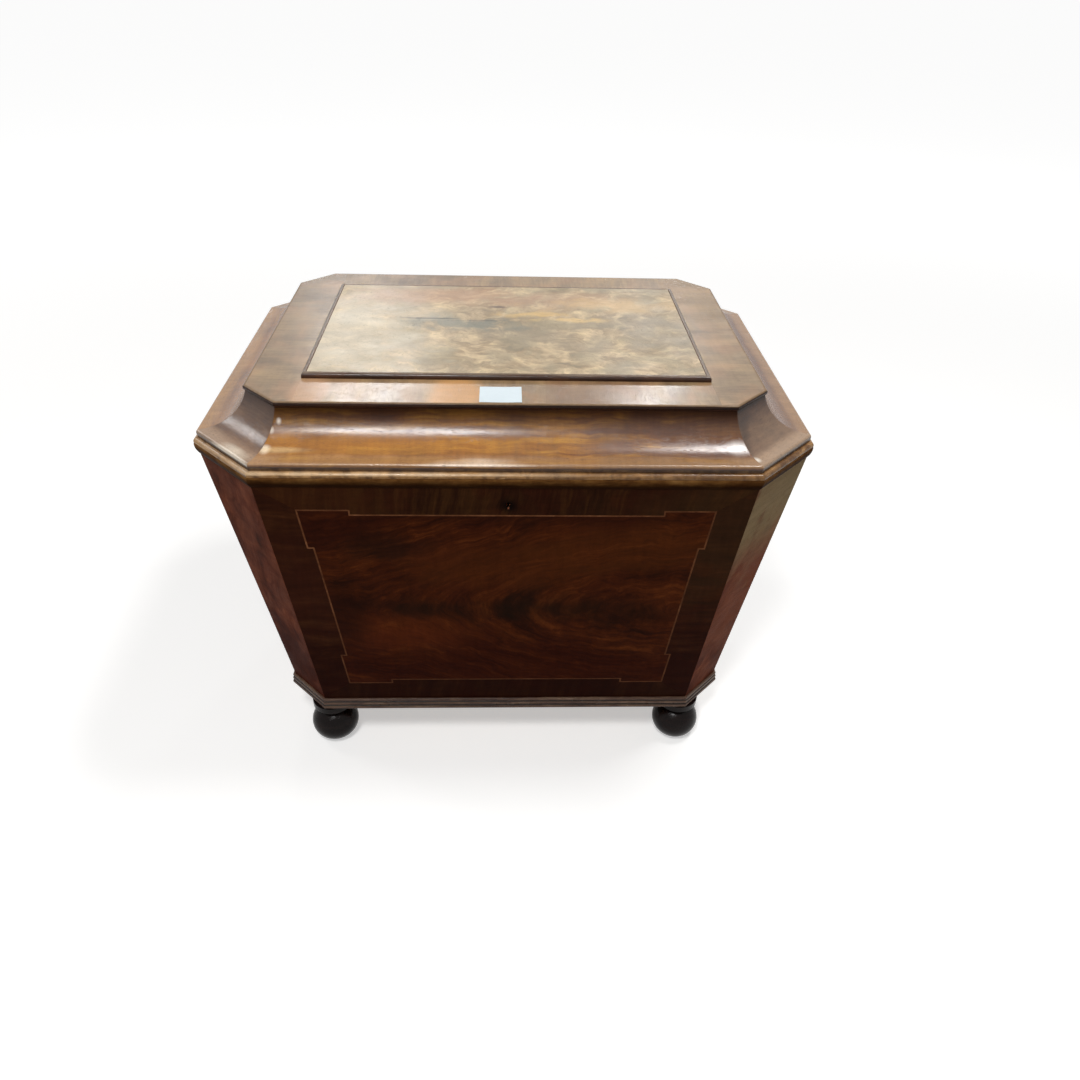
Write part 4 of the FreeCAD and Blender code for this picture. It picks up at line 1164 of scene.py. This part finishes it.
@dataclass(frozen=True)
class Moulding:
    """A mitred moulding: its section, and how softly its mitres and faces are worn.

    The section's points are (outwards from its widest line, up), anticlockwise. A length's own
    shift moves its grain along, and by the side share also across; times the wave shift it moves
    its waves.
    """

    section: list[Pair]
    ridge_radius: float = 2.0 * MM
    ridge_steps: int = 3
    waviness: float = 0.12 * MM
    wave_length: float = 30.0 * MM
    wave_shift: float = 7.1
    side_share: float = 0.61

    def stations(self, half_turn: float, half_length: float) -> Iterator[Pair]:
        """Places the cuts along the moulding.

        Args:
            half_turn: Half the angle between two neighbouring sides.
            half_length: Half the length of the side.

        Returns:
            The cuts in order, as (share of the way to the mitre, turn of the worn ridge).
        """
        turns = [half_turn * step / self.ridge_steps for step in range(1, self.ridge_steps + 1)]
        for turn in reversed(turns):
            yield -1.0, -turn
        count = max(2, round(2 * half_length / (self.wave_length / 2)))
        for step in range(count + 1):
            yield -1.0 + 2.0 * step / count, 0.0
        for turn in turns:
            yield 1.0, turn

    def length(self, plan: Plan, side: Side, shift: float) -> Mesh:
        """Makes the length of moulding along one side of a plan, with its mitres and grain map.

        Args:
            plan: The ring that the length belongs to.
            side: The side.
            shift: Moves the waves and the grain.

        Returns:
            The mesh in its place.
        """
        half_turn = plan.half_turn
        half_length = plan.half_length(side)
        work = bmesh.new()
        number = work.verts.layers.int.new("point")
        tread = [0.0]
        for before, after in zip(self.section, self.section[1:]):
            tread.append(tread[-1] + math.dist(before, after))
        ring = []
        for index, (out, up) in enumerate(self.section):
            vert = work.verts.new((out, 0.0, up))
            vert[number] = index
            ring.append(vert)
        face = work.faces.new(ring)
        inmost = min(out for out, _ in self.section)
        for index, (share, turn) in enumerate(self.stations(half_turn, half_length)):
            if index:
                ring, (face,) = push_out(work, [face])
            for vert in ring:
                out, up = self.section[vert[number]]
                reach = half_length + (out - self.ridge_radius) * math.tan(half_turn)
                y = share * reach + self.ridge_radius * math.sin(turn)
                worn = self.ridge_radius * (1 - math.cos(turn))
                place = (y / self.wave_length, shift * self.wave_shift, up / self.wave_length)
                wave = 0.5 + 0.5 * noise.noise(place)
                worn += self.waviness * wave * (out - inmost) / max(-inmost, MM)
                vert.co = (out - worn, y, up)
        bmesh.ops.recalc_face_normals(work, faces=work.faces)
        grain = work.loops.layers.uv.new(GRAIN)
        for shown in work.faces:
            for loop in shown.loops:
                across = tread[loop.vert[number]] + shift * self.side_share
                loop[grain].uv = (loop.vert.co.y + shift, across)
        turn_out = Matrix.Rotation(math.radians(side.value), 4, "Z")
        work.transform(Matrix.Translation(plan.middle(side)) @ turn_out)
        return work


def bare_behind(work: Mesh, outward: Vector, inwards: float = 0.5, downwards: float = 0.9) -> None:
    """Gives the second finish to faces that look inwards or down.

    Args:
        work: The mesh, whose first finish is the polished one.
        outward: The way that the polished face looks.
        inwards: How straight inwards a bare face looks at least, where 1 is straight.
        downwards: The same for a face that looks down.
    """
    for face in work.faces:
        face.normal_update()
        if face.normal.dot(outward) < -inwards or face.normal.z < -downwards:
            face.material_index = 1


def sink_rectangle(work: Mesh, low: Vector, high: Vector) -> None:
    """Sinks a rectangular housing into the underside of a mesh.

    Args:
        work: The mesh, whose underside lies at the height of the box's foot.
        low: Lowest corner of the box that the housing takes.
        high: Highest corner of the same box.
    """
    for normal in (X_WAY, Y_WAY):
        for place in (low, high):
            under = [face for face in work.faces
                     if abs(face.calc_center_median().z - low.z) < SAME]
            bmesh.ops.bisect_plane(work, geom=whole(under), plane_co=place, plane_no=normal)
    inside = []
    for face in work.faces:
        middle = face.calc_center_median()
        within = low.x < middle.x < high.x and low.y < middle.y < high.y
        if within and abs(middle.z - low.z) < SAME:
            inside.append(face)
    raised, _ = push_out(work, inside)
    bmesh.ops.translate(work, verts=raised, vec=(0.0, 0.0, high.z - low.z))


def raise_slab(work: Mesh, places: Iterable[Vector], bottom: float, top: float) -> None:
    """Adds a closed slab over a convex outline.

    Args:
        work: The mesh that takes the slab.
        places: Corners of the outline, in any order; their heights don't count.
        bottom: Height of the slab's underside.
        top: Height of its top.
    """
    outline = sorted({(round(place.x, 6), round(place.y, 6)) for place in places},
                     key=lambda corner: math.atan2(corner[1], corner[0]))
    face = work.faces.new([work.verts.new((x, y, bottom)) for x, y in outline])
    raised, _ = push_out(work, [face])
    bmesh.ops.translate(work, verts=raised, vec=(0.0, 0.0, top - bottom))
    bmesh.ops.recalc_face_normals(work, faces=work.faces)


def swell(depth: float, rise: float) -> Pair:
    """Radius and turn, in degrees, of an arc that swells by a depth over a rise."""
    radius = (depth ** 2 + rise ** 2) / (2 * depth)
    return radius, math.degrees(math.asin(min(1.0, rise / radius)))


# --- Sub-assemblies -----------------------------------------------------------------------------

@dataclass
class Lid:
    """Rim, coves and top of the lid. Lengths are in metres, and shifts move the grain."""

    shop: Workshop
    frame_width: float = 41.0 * MM
    nosing_foot: float = 3.5 * MM
    nosing_bead: float = 4.6 * MM
    bead_setback: float = 0.3 * MM
    bead_rise: float = 1.2 * MM
    bead_start: float = -12.0
    band_swell: float = 11.0 * MM
    band_top: tuple[Pair, ...] = ((0.1 * MM, 1.2 * MM), (0.45 * MM, 0.5 * MM))
    groove_drop: float = 10.0 * MM
    groove_depth: float = 1.1 * MM
    neck_setback: float = 5.4 * MM
    cove_radius: float = 51.0 * MM
    cove_land: float = 6.0 * MM
    cove_lip: float = 5.0 * MM
    lip_round: float = 3.0 * MM
    cove_shoulder: float = 24.0 * MM
    corner_round: float = 0.8 * MM
    board_round: float = 2.4 * MM
    tray_margin: float = 3.0 * MM
    tongue_glue: float = 1.0 * MM
    strip_round: float = 0.12 * MM
    panel_round: float = 0.25 * MM
    bead_round: float = 4.0 * MM
    quirk_width: float = 0.8 * MM
    quirk_depth: float = 1.0 * MM
    ticket_lift: float = 0.05 * MM
    ticket_curl: float = 0.5 * MM
    ticket_thickness: float = 0.15 * MM
    ticket_grid: tuple[int, int] = (12, 10)
    cove_shift: float = 1.7
    rim_shift: float = 2.9
    back_rim_shift: float = 31.0
    board_shift: float = 5.3
    strip_shift: float = 3.1
    bead_shift: float = 4.3

    def rim_section(self) -> list[Pair]:
        """Draws the rim: a band that draws in to its foot, a groove, a bead and a neck.

        Returns:
            The points, as (outwards from the widest line, up).
        """
        low, high = (corner.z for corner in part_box("lid_rim_right"))
        groove = high - self.groove_drop
        lower_radius, lower_turn = swell(self.nosing_foot, self.band_swell)
        bead = (-self.bead_setback - self.nosing_bead, groove + self.bead_rise)
        section = [(-self.frame_width, low)]
        section += arc((-lower_radius, low + self.band_swell), lower_radius, -lower_turn, 0.0, 8)
        section += [(-setback, groove - drop) for setback, drop in self.band_top]
        section.append((-self.groove_depth, groove))
        section += arc(bead, self.nosing_bead, self.bead_start, 90.0, 10)
        section += [(-self.neck_setback, bead[1] + self.nosing_bead), (-self.neck_setback, high)]
        section.append((-self.frame_width, high))
        return section

    def cove_section(self) -> list[Pair]:
        """Draws a cove: a rounded lip, then a hollow that rises to the top board.

        Returns:
            The points, as (outwards from the widest line, up).
        """
        low, high = (corner.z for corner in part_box("lid_cove_right"))
        floor = low + self.cove_lip
        centre = (-self.cove_land, floor + self.cove_radius)
        top_turn = math.degrees(math.asin((high - centre[1]) / self.cove_radius))
        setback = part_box("lid_rim_right")[1].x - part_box("lid_cove_right")[1].x
        section = [(setback - self.frame_width, low), (0.0, low)]
        section += arc((-self.lip_round, floor - self.lip_round), self.lip_round, 0.0, 90.0, 5)
        section += arc(centre, self.cove_radius, 270.0, 180.0 - top_turn, 24)
        section.append((section[-1][0] - self.cove_shoulder, high))
        return section

    def bead_section(self) -> list[Pair]:
        """Draws the bead round the raised panel, with a quirk against the panel.

        Returns:
            The points, as (outwards from the widest line, up).
        """
        low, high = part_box("panel_moulding_front")
        inner = low.y - high.y
        quirk = inner + self.quirk_width
        floor = high.z - self.quirk_depth
        section = [(inner, low.z), (0.0, low.z)]
        section += arc((-self.bead_round, high.z - self.bead_round), self.bead_round, 0.0, 90.0, 7)
        section += [(quirk, high.z), (quirk, floor), (inner, floor)]
        return section

    def make_rings(self) -> None:
        """Makes the rim and the coves, side by side."""
        rim_plan = Plan.of_nodes("lid_rim_front", "lid_rim_right")
        cove_plan = Plan.of_nodes("lid_cove_front", "lid_cove_right")
        rim = Moulding(self.rim_section(), ridge_radius=3.0 * MM, waviness=0.35 * MM,
                       wave_length=16.0 * MM)
        cove = Moulding(self.cove_section(), ridge_radius=2.5 * MM, waviness=0.25 * MM,
                        wave_length=60.0 * MM)
        for index, side in enumerate(Side):
            self.add_length(cove.length(cove_plan, side, self.cove_shift * index), side,
                            "lid_cove_" + side.node_end, "cove_corner" if side.canted else "cove")
            if side is not Side.BACK:
                self.add_length(rim.length(rim_plan, side, self.rim_shift * index), side,
                                "lid_rim_" + side.node_end, "nosing")
        # The back length keeps its node's shape, with the notches for the hinges.
        back = joined_copy("lid_rim_back")
        lay_grain(back, Side.BACK.along, UP, self.back_rim_shift)
        self.add_length(back, Side.BACK, "lid_rim_back", "nosing")

    def add_length(self, work: Mesh, side: Side, node: str, finish: str) -> None:
        """Puts one length of moulding in place of its node.

        Args:
            work: The mesh.
            side: The side that it runs along.
            node: The node that it replaces.
            finish: Finish of its polished faces.
        """
        if node == "lid_rim_front":
            sink_rectangle(work, *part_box("link_plate"))
        bare_behind(work, side.outward)
        finishes = (finish, "bare")
        if finish == "nosing":
            # The band under the groove takes a darker finish with painted shade.
            self.dull_painted_shade_band(work)
            finishes += ("nosing_under",)
        Piece(work, node + "_worked", "lid", finishes, node, "mahogany").place(self.shop)

    def dull_painted_shade_band(self, work: Mesh) -> None:
        """Gives the third finish, with painted shade, to the polished faces under the nosing's
        groove.

        Args:
            work: The mesh of one length of the rim.
        """
        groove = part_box("lid_rim_right")[1].z - self.groove_drop
        for face in work.faces:
            if face.material_index == 0 and face.calc_center_median().z < groove:
                face.material_index = 2

    def make_top_board(self) -> None:
        """Makes the top board with its rounded edge, its tongue and its tray for the banding."""
        low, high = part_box("lid_top_board")
        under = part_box("lid_cove_right")[1].z
        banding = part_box("top_crossbanding")
        board = joined_copy("lid_top_board")
        rim = [vert.co for vert in board.verts
               if high.x - abs(vert.co.x) < SAME or high.y - abs(vert.co.y) < SAME]
        tongue = [vert.co for vert in board.verts if vert.co.z - low.z < SAME]
        work = bmesh.new()
        raise_slab(work, rim, under, high.z)
        upright = [edge for edge in work.edges
                   if abs(edge.verts[0].co.z - edge.verts[1].co.z) > MM]
        round_off(work, upright, self.corner_round, 2)
        level = [edge for edge in work.edges
                 if abs(edge.verts[0].co.z - edge.verts[1].co.z) < MM]
        round_off(work, level, self.board_round, 5)
        top = max(work.faces, key=lambda item: item.calc_center_median().z)
        bmesh.ops.inset_individual(work, faces=[top],
                                   thickness=self.tray_margin - self.board_round)
        (tray,) = bmesh.ops.extrude_discrete_faces(work, faces=[top])["faces"]
        bmesh.ops.translate(work, verts=list(tray.verts),
                            vec=(0.0, 0.0, banding[0].z - banding[1].z))
        raise_slab(work, tongue, low.z, under + self.tongue_glue)
        board.free()
        lay_grain(work, X_WAY, Y_WAY, self.board_shift)
        bare_behind(work, UP)
        Piece(work, "lid_top_board_worked", "lid", ("edge", "bare"), "lid_top_board",
              "mahogany").place(self.shop)

    def make_banding(self) -> None:
        """Makes the four crossbanded strips of the top, their grain square to the panel."""
        for index, work in enumerate(solids("top_crossbanding")):
            ease_edges(work, self.strip_round, segments=1)
            middle = sum((vert.co for vert in work.verts), Vector()) / len(work.verts)
            ways = (Y_WAY, X_WAY) if abs(middle.x) < abs(middle.y) else (X_WAY, Y_WAY)
            lay_grain(work, *ways, self.strip_shift * index)
            Piece(work, f"top_crossbanding_{index}", "lid", ("banding_top",), "top_crossbanding",
                  "crossbanding").place(self.shop)

    def make_panel(self) -> None:
        """Makes the raised panel and the bead round it."""
        panel = flatten(joined_copy("raised_panel"))
        ease_edges(panel, self.panel_round)
        Piece(panel, "raised_panel_worked", "lid", ("flame_top",), "raised_panel",
              "flame_mahogany").place(self.shop)
        plan = Plan.of_nodes("panel_moulding_front", "panel_moulding_right")
        bead = Moulding(self.bead_section(), ridge_radius=1.2 * MM, waviness=0.1 * MM)
        for index, side in enumerate(item for item in Side if not item.canted):
            self.add_length(bead.length(plan, side, self.bead_shift * index), side,
                            "panel_moulding_" + side.name.lower(), "bead")

    def make_ticket(self) -> None:
        """Makes the blank card ticket, a little curled."""
        low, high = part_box("paper_ticket")
        middle = (low + high) / 2
        width, depth = high.x - low.x, high.y - low.y
        work = bmesh.new()
        columns, rows = self.ticket_grid
        bmesh.ops.create_grid(work, x_segments=columns, y_segments=rows, size=0.5)
        for vert in work.verts:
            x, y, _ = vert.co
            curl = 2.0 * abs(x * y) + max(0.0, x) ** 2
            vert.co = (middle.x + x * width, middle.y + y * depth,
                       low.z + self.ticket_lift + self.ticket_curl * curl)
        bmesh.ops.solidify(work, geom=work.faces[:], thickness=-self.ticket_thickness)
        bmesh.ops.recalc_face_normals(work, faces=work.faces)
        Piece(work, "paper_ticket_card", "lid", ("paper",), "paper_ticket",
              "paper").place(self.shop)

    def make(self) -> None:
        """Makes the whole lid."""
        self.make_rings()
        self.make_top_board()
        self.make_banding()
        self.make_panel()
        self.make_ticket()
        self.shop.dress("brass", "link_plate", "link_staples", "link_plate_screws",
                        "hinge_leaf_lid_left", "hinge_leaf_lid_right", "hinge_screws_lid")


@dataclass
class Chest:
    """Tapering chest with its veneers, posts, liner, lock and hinges. Lengths are in metres.

    A face of a wall is polished where its normal leans outwards by more than the polished lean.
    """

    shop: Workshop
    arris: float = 0.7 * MM
    strip_round: float = 0.12 * MM
    tallest_rail: float = 200.0 * MM
    polished_lean: float = 0.3
    strip_shift: float = 2.3
    wall_shift: float = 3.7

    def make_front(self) -> None:
        """Makes the four crossbanded strips of the front."""
        for index, work in enumerate(solids("front_crossbanding")):
            middle = sum((vert.co for vert in work.verts), Vector()) / len(work.verts)
            heights = [vert.co.z for vert in work.verts]
            upright = max(heights) - min(heights) > self.tallest_rail
            ease_edges(work, self.strip_round, segments=1)
            ways = (X_WAY, UP) if upright else (UP, X_WAY)
            lay_grain(work, *ways, self.strip_shift * index + middle.x)
            finish = "banding_upright" if upright else "banding_front"
            Piece(work, f"front_crossbanding_{index}", "carcase", (finish,),
                  "front_crossbanding", "crossbanding").place(self.shop)

    def make_walls(self) -> None:
        """Makes the side boards and the corner posts, polished outside and bare inside."""
        for index, side in enumerate(Side):
            if side is Side.FRONT:
                continue
            name = side.name.lower()
            node = f"corner_post_{name}" if side.canted else f"{name}_board"
            work = joined_copy(node)
            # The back board's notches for the hinges stay as they are cut.
            if side is not Side.BACK:
                ease_edges(flatten(work), self.arris)
            ways = (UP, side.along) if side.canted else (side.along, UP)
            lay_grain(work, *ways, self.wall_shift * index)
            for face in work.faces:
                face.normal_update()
                polished = face.normal.dot(side.outward) > self.polished_lean
                face.material_index = 0 if polished else 1
            Piece(work, node + "_worked", "carcase", ("post" if side.canted else "side", "bare"),
                  node, "mahogany").place(self.shop)

    def dress(self) -> None:
        """Dresses the front, the liner, the bottom board, the lock and the hinges."""
        self.shop.dress("bare", "front_board")
        self.shop.dress("flame_front", "front_flame_veneer")
        self.shop.dress("string", "front_stringing")
        self.shop.dress("zinc", "zinc_liner")
        self.shop.dress("pine", "bottom_board")
        self.shop.dress("steel", "lock_bolt")
        self.shop.dress("dark_brass", "lock_case")
        self.shop.dress("brass", "lock_screws", "hinge_leaf_carcase_left",
                        "hinge_leaf_carcase_right", "hinge_screws_carcase", "hinge_pin_left",
                        "hinge_pin_right")

    def make(self) -> None:
        """Makes the whole chest."""
        self.make_front()
        self.make_walls()
        self.dress()


@dataclass
class Base:
    """Reeded base moulding and bun feet. Lengths are in metres."""

    shop: Workshop
    reed_heights: tuple[float, ...] = (6.2 * MM, 6.1 * MM, 4.9 * MM)
    reed_setback: float = 0.7 * MM
    reed_swell: float = 1.6 * MM
    reed_shift: float = 5.9
    pad_radius: float = 13.0 * MM
    bun_height: float = 25.0 * MM
    bun_top: float = 50.0 * MM
    neck_radius: float = 17.0 * MM
    collar_radius: float = 23.0 * MM
    collar_bottom: float = 52.0 * MM
    collar_top: float = 58.0 * MM
    collar_turn: float = 75.0
    cap_radius: float = 27.0 * MM
    cap_chamfer: float = 1.0 * MM
    spigot_radius: float = 9.0 * MM
    turning_steps: int = 64

    def moulding_section(self) -> list[Pair]:
        """Draws the base moulding: three reeds, each a little behind the one under it.

        Returns:
            The points, as (outwards from the widest line, up).
        """
        low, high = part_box("base_moulding_front")
        depth = high.y - low.y
        section = [(-depth, low.z)]
        height = low.z
        for index, reed in enumerate(self.reed_heights):
            radius, turn = swell(self.reed_swell, reed / 2)
            centre = (-index * self.reed_setback - radius, height + reed / 2)
            section += arc(centre, radius, -turn, turn, 8)
            height += reed
        section.append((-depth, high.z))
        return section

    def make_moulding(self) -> None:
        """Makes the four lengths and the four corner pieces."""
        plan = Plan.of_nodes("base_moulding_front", "base_moulding_right")
        reeded = Moulding(self.moulding_section(), ridge_radius=1.0 * MM, waviness=0.15 * MM)
        for index, side in enumerate(Side):
            work = reeded.length(plan, side, self.reed_shift * index)
            bare_behind(work, side.outward)
            name = side.name.lower()
            Piece(work, f"base_moulding_{name}_worked", "carcase", ("base", "bare"),
                  "base_moulding_" + ("corners" if side.canted else name),
                  "mahogany").place(self.shop)

    def foot_outline(self, top: float, foot_top: float, bun_radius: float) -> list[Pair]:
        """Half outline of a foot, as (radius, height).

        Args:
            top: Top of the spigot.
            foot_top: Top of the cap, against the base.
            bun_radius: Widest radius of the bun.

        Returns:
            The points from the middle of the pad to the middle of the spigot's top.
        """
        lower, lower_turn = swell(bun_radius - self.pad_radius, self.bun_height)
        upper, upper_turn = swell(bun_radius - self.neck_radius, self.bun_top - self.bun_height)
        points = [(0.0, 0.0)]
        points += arc((bun_radius - lower, self.bun_height), lower, -lower_turn, 0.0, 12)
        points += arc((bun_radius - upper, self.bun_height), upper, 0.0, upper_turn, 12)[1:]
        points.append((self.neck_radius, self.collar_bottom))
        middle = (self.collar_bottom + self.collar_top) / 2
        half = (self.collar_top - self.collar_bottom) / 2
        across = self.collar_radius - self.neck_radius
        points += [(self.neck_radius + across * x, middle + half * y)
                   for x, y in arc((0.0, 0.0), 1.0, -self.collar_turn, self.collar_turn, 10)]
        points += [(self.neck_radius, self.collar_top),
                   (self.cap_radius - self.cap_chamfer, self.collar_top),
                   (self.cap_radius, self.collar_top + self.cap_chamfer),
                   (self.cap_radius, foot_top), (self.spigot_radius, foot_top),
                   (self.spigot_radius, top), (0.0, top)]
        return points

    def make_feet(self) -> None:
        """Turns the four feet."""
        foot_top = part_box("base_moulding_front")[0].z
        for place in ("front_left", "front_right", "back_left", "back_right"):
            node = "bun_foot_" + place
            low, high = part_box(node)
            middle = (low + high) / 2
            work = bmesh.new()
            outline = self.foot_outline(high.z, foot_top, (high.x - low.x) / 2)
            verts = [work.verts.new((radius, 0.0, height)) for radius, height in outline]
            for start, end in zip(verts, verts[1:]):
                work.edges.new((start, end))
            bmesh.ops.spin(work, geom=work.verts[:] + work.edges[:], cent=(0.0, 0.0, 0.0),
                           axis=UP, angle=math.tau, steps=self.turning_steps, use_merge=True)
            bmesh.ops.remove_doubles(work, verts=work.verts, dist=SAME)
            bmesh.ops.recalc_face_normals(work, faces=work.faces)
            bmesh.ops.translate(work, verts=work.verts, vec=(middle.x, middle.y, 0.0))
            Piece(work, node + "_turned", "carcase", ("foot",), node,
                  "dark_mahogany").place(self.shop)

    def make(self) -> None:
        """Makes the whole base."""
        self.make_moulding()
        self.make_feet()


# --- Room, lamps and camera ---------------------------------------------------------------------

@dataclass(frozen=True)
class Lamp:
    """A soft rectangular lamp that looks at a point. Lengths are in metres."""

    name: str
    place: Triple
    aim: Triple
    size: Pair
    power: float
    roll: float = 0.0

    def hang(self) -> None:
        """Adds the lamp to the scene."""
        data = bpy.data.lights.new(self.name, "AREA")
        data.shape = "RECTANGLE"
        data.size, data.size_y = self.size
        data.energy = self.power
        look = (Vector(self.aim) - Vector(self.place)).to_track_quat("-Z", "Y")
        turn = look.to_matrix().to_4x4() @ Matrix.Rotation(self.roll, 4, "Z")
        put(self.name, data).matrix_world = Matrix.Translation(self.place) @ turn


@dataclass(frozen=True)
class Room:
    """Pale floor, even surroundings and the lamps. Lengths are in metres."""

    floor_size: float = 120.0
    floor_colour: str = "#e3e2e0"
    floor_roughness: float = 0.9
    near_lift: float = 0.47
    far_lift: float = 0.88
    near: float = 0.8
    far: float = 4.0
    surroundings: float = 0.11
    lamps: tuple[Lamp, ...] = (
        Lamp("overhead", (0.0, 0.5, 2.9), (0.0, 0.0, 0.4), (2.6, 2.2), 1.2),
        Lamp("front_panel", (-0.36, -1.42, 2.33), (-0.14, -0.22, 0.50), (0.56, 0.48), 31.0, 0.85),
        Lamp("right_panel", (0.84, 0.0, 2.45), (0.2, -0.24, 0.48), (0.66, 0.42), 27.0),
        Lamp("left_panel", (-2.12, 0.9, 1.88), (-0.3, -0.22, 0.48), (0.6, 0.4), 6.5),
        Lamp("window_left", (-0.66, 3.0, 2.00), (-0.15, -0.10, 0.53), (0.46, 0.26), 7.6),
        Lamp("window_right", (0.76, 3.0, 2.06), (0.16, -0.18, 0.53), (0.34, 0.10), 4.8),
    )

    def seen(self, tree: Tree) -> Node:
        """Tells the rays that see the background from those that only light the object.

        Args:
            tree: The graph that takes the nodes.

        Returns:
            The node that gives 1 for a ray from the eye, a gloss or a glass, and else 0.
        """
        rays = add(tree, "LightPath").outputs
        seen = add(tree, "Math", {0: rays["Is Camera Ray"], 1: rays["Is Glossy Ray"]},
                   operation="MAXIMUM")
        return add(tree, "Math", {0: seen, 1: rays["Is Transmission Ray"]}, operation="MAXIMUM")

    def lay_floor(self) -> None:
        """Lays the floor, white to the eye but with the object's shadow on it."""
        work = bmesh.new()
        bmesh.ops.create_grid(work, x_segments=1, y_segments=1, size=self.floor_size / 2)
        mesh = bpy.data.meshes.new("floor")
        work.to_mesh(mesh)
        work.free()
        material, tree, shader = new_material("pale_matt_floor")
        plug(shader, {"Base Color": linear(self.floor_colour),
                      "Roughness": self.floor_roughness, "Specular IOR Level": 0.0})
        place = add(tree, "TexCoord").outputs["Object"]
        away = add(tree, "VectorMath", {0: place}, operation="LENGTH").outputs["Value"]
        lift = add(tree, "MapRange",
                   {"Value": away, "From Min": self.near, "From Max": self.far,
                    "To Min": self.near_lift, "To Max": self.far_lift},
                   interpolation_type="SMOOTHSTEP")
        lift = add(tree, "Math", {0: self.seen(tree), 1: lift}, operation="MULTIPLY")
        glow = add(tree, "Emission", {"Strength": lift})
        both = add(tree, "AddShader", {0: shader, 1: glow})
        plug(tree.nodes["Material Output"], {"Surface": both})
        mesh.materials.append(material)
        put("floor", mesh)

    def light(self) -> None:
        """Sets the even light of the surroundings and hangs the lamps."""
        world = bpy.data.worlds.new("even_surroundings")
        bpy.context.scene.world = world
        world.use_nodes = True
        tree = world.node_tree
        strength = add(tree, "MapRange", {"Value": self.seen(tree), "To Min": self.surroundings,
                                          "To Max": 1.0})
        plug(tree.nodes["Background"], {"Strength": strength, "Color": (1.0, 1.0, 1.0, 1.0)})
        for lamp in self.lamps:
            lamp.hang()

    def make(self) -> None:
        """Makes the room."""
        self.lay_floor()
        self.light()
        bpy.context.scene.view_settings.view_transform = "Standard"


@dataclass(frozen=True)
class Camera:
    """A hand-held camera that looks down at the front. Lengths are in metres, turns in radians."""

    place: Triple = (-0.0058, -1.0763, 0.9519)
    yaw: float = 0.0519
    pitch: float = 0.6118
    roll: float = 0.0324
    lens_mm: float = 29.136
    sensor_mm: float = 36.0
    nearest: float = 0.01
    farthest: float = 200.0

    def stand(self) -> None:
        """Puts the camera in the scene."""
        data = bpy.data.cameras.new("camera")
        data.lens = self.lens_mm
        data.sensor_width = self.sensor_mm
        data.clip_start, data.clip_end = self.nearest, self.farthest
        thing = put("camera", data)
        turn = Matrix.Rotation(-self.yaw, 3, "Z") @ Matrix.Rotation(QUARTER, 3, "X")
        turn = turn @ Matrix.Rotation(-self.pitch, 3, "X") @ Matrix.Rotation(self.roll, 3, "Z")
        thing.matrix_world = Matrix.Translation(self.place) @ turn.to_4x4()
        bpy.context.scene.camera = thing


def main() -> None:
    """Builds the room and the cellarette, part by part."""
    logging.basicConfig(level=logging.INFO, format="%(name)s: %(message)s")
    shop = Workshop()
    Camera().stand()
    Room().make()
    Base(shop).make()
    Chest(shop).make()
    Lid(shop).make()


if __name__ == "__main__":
    main()
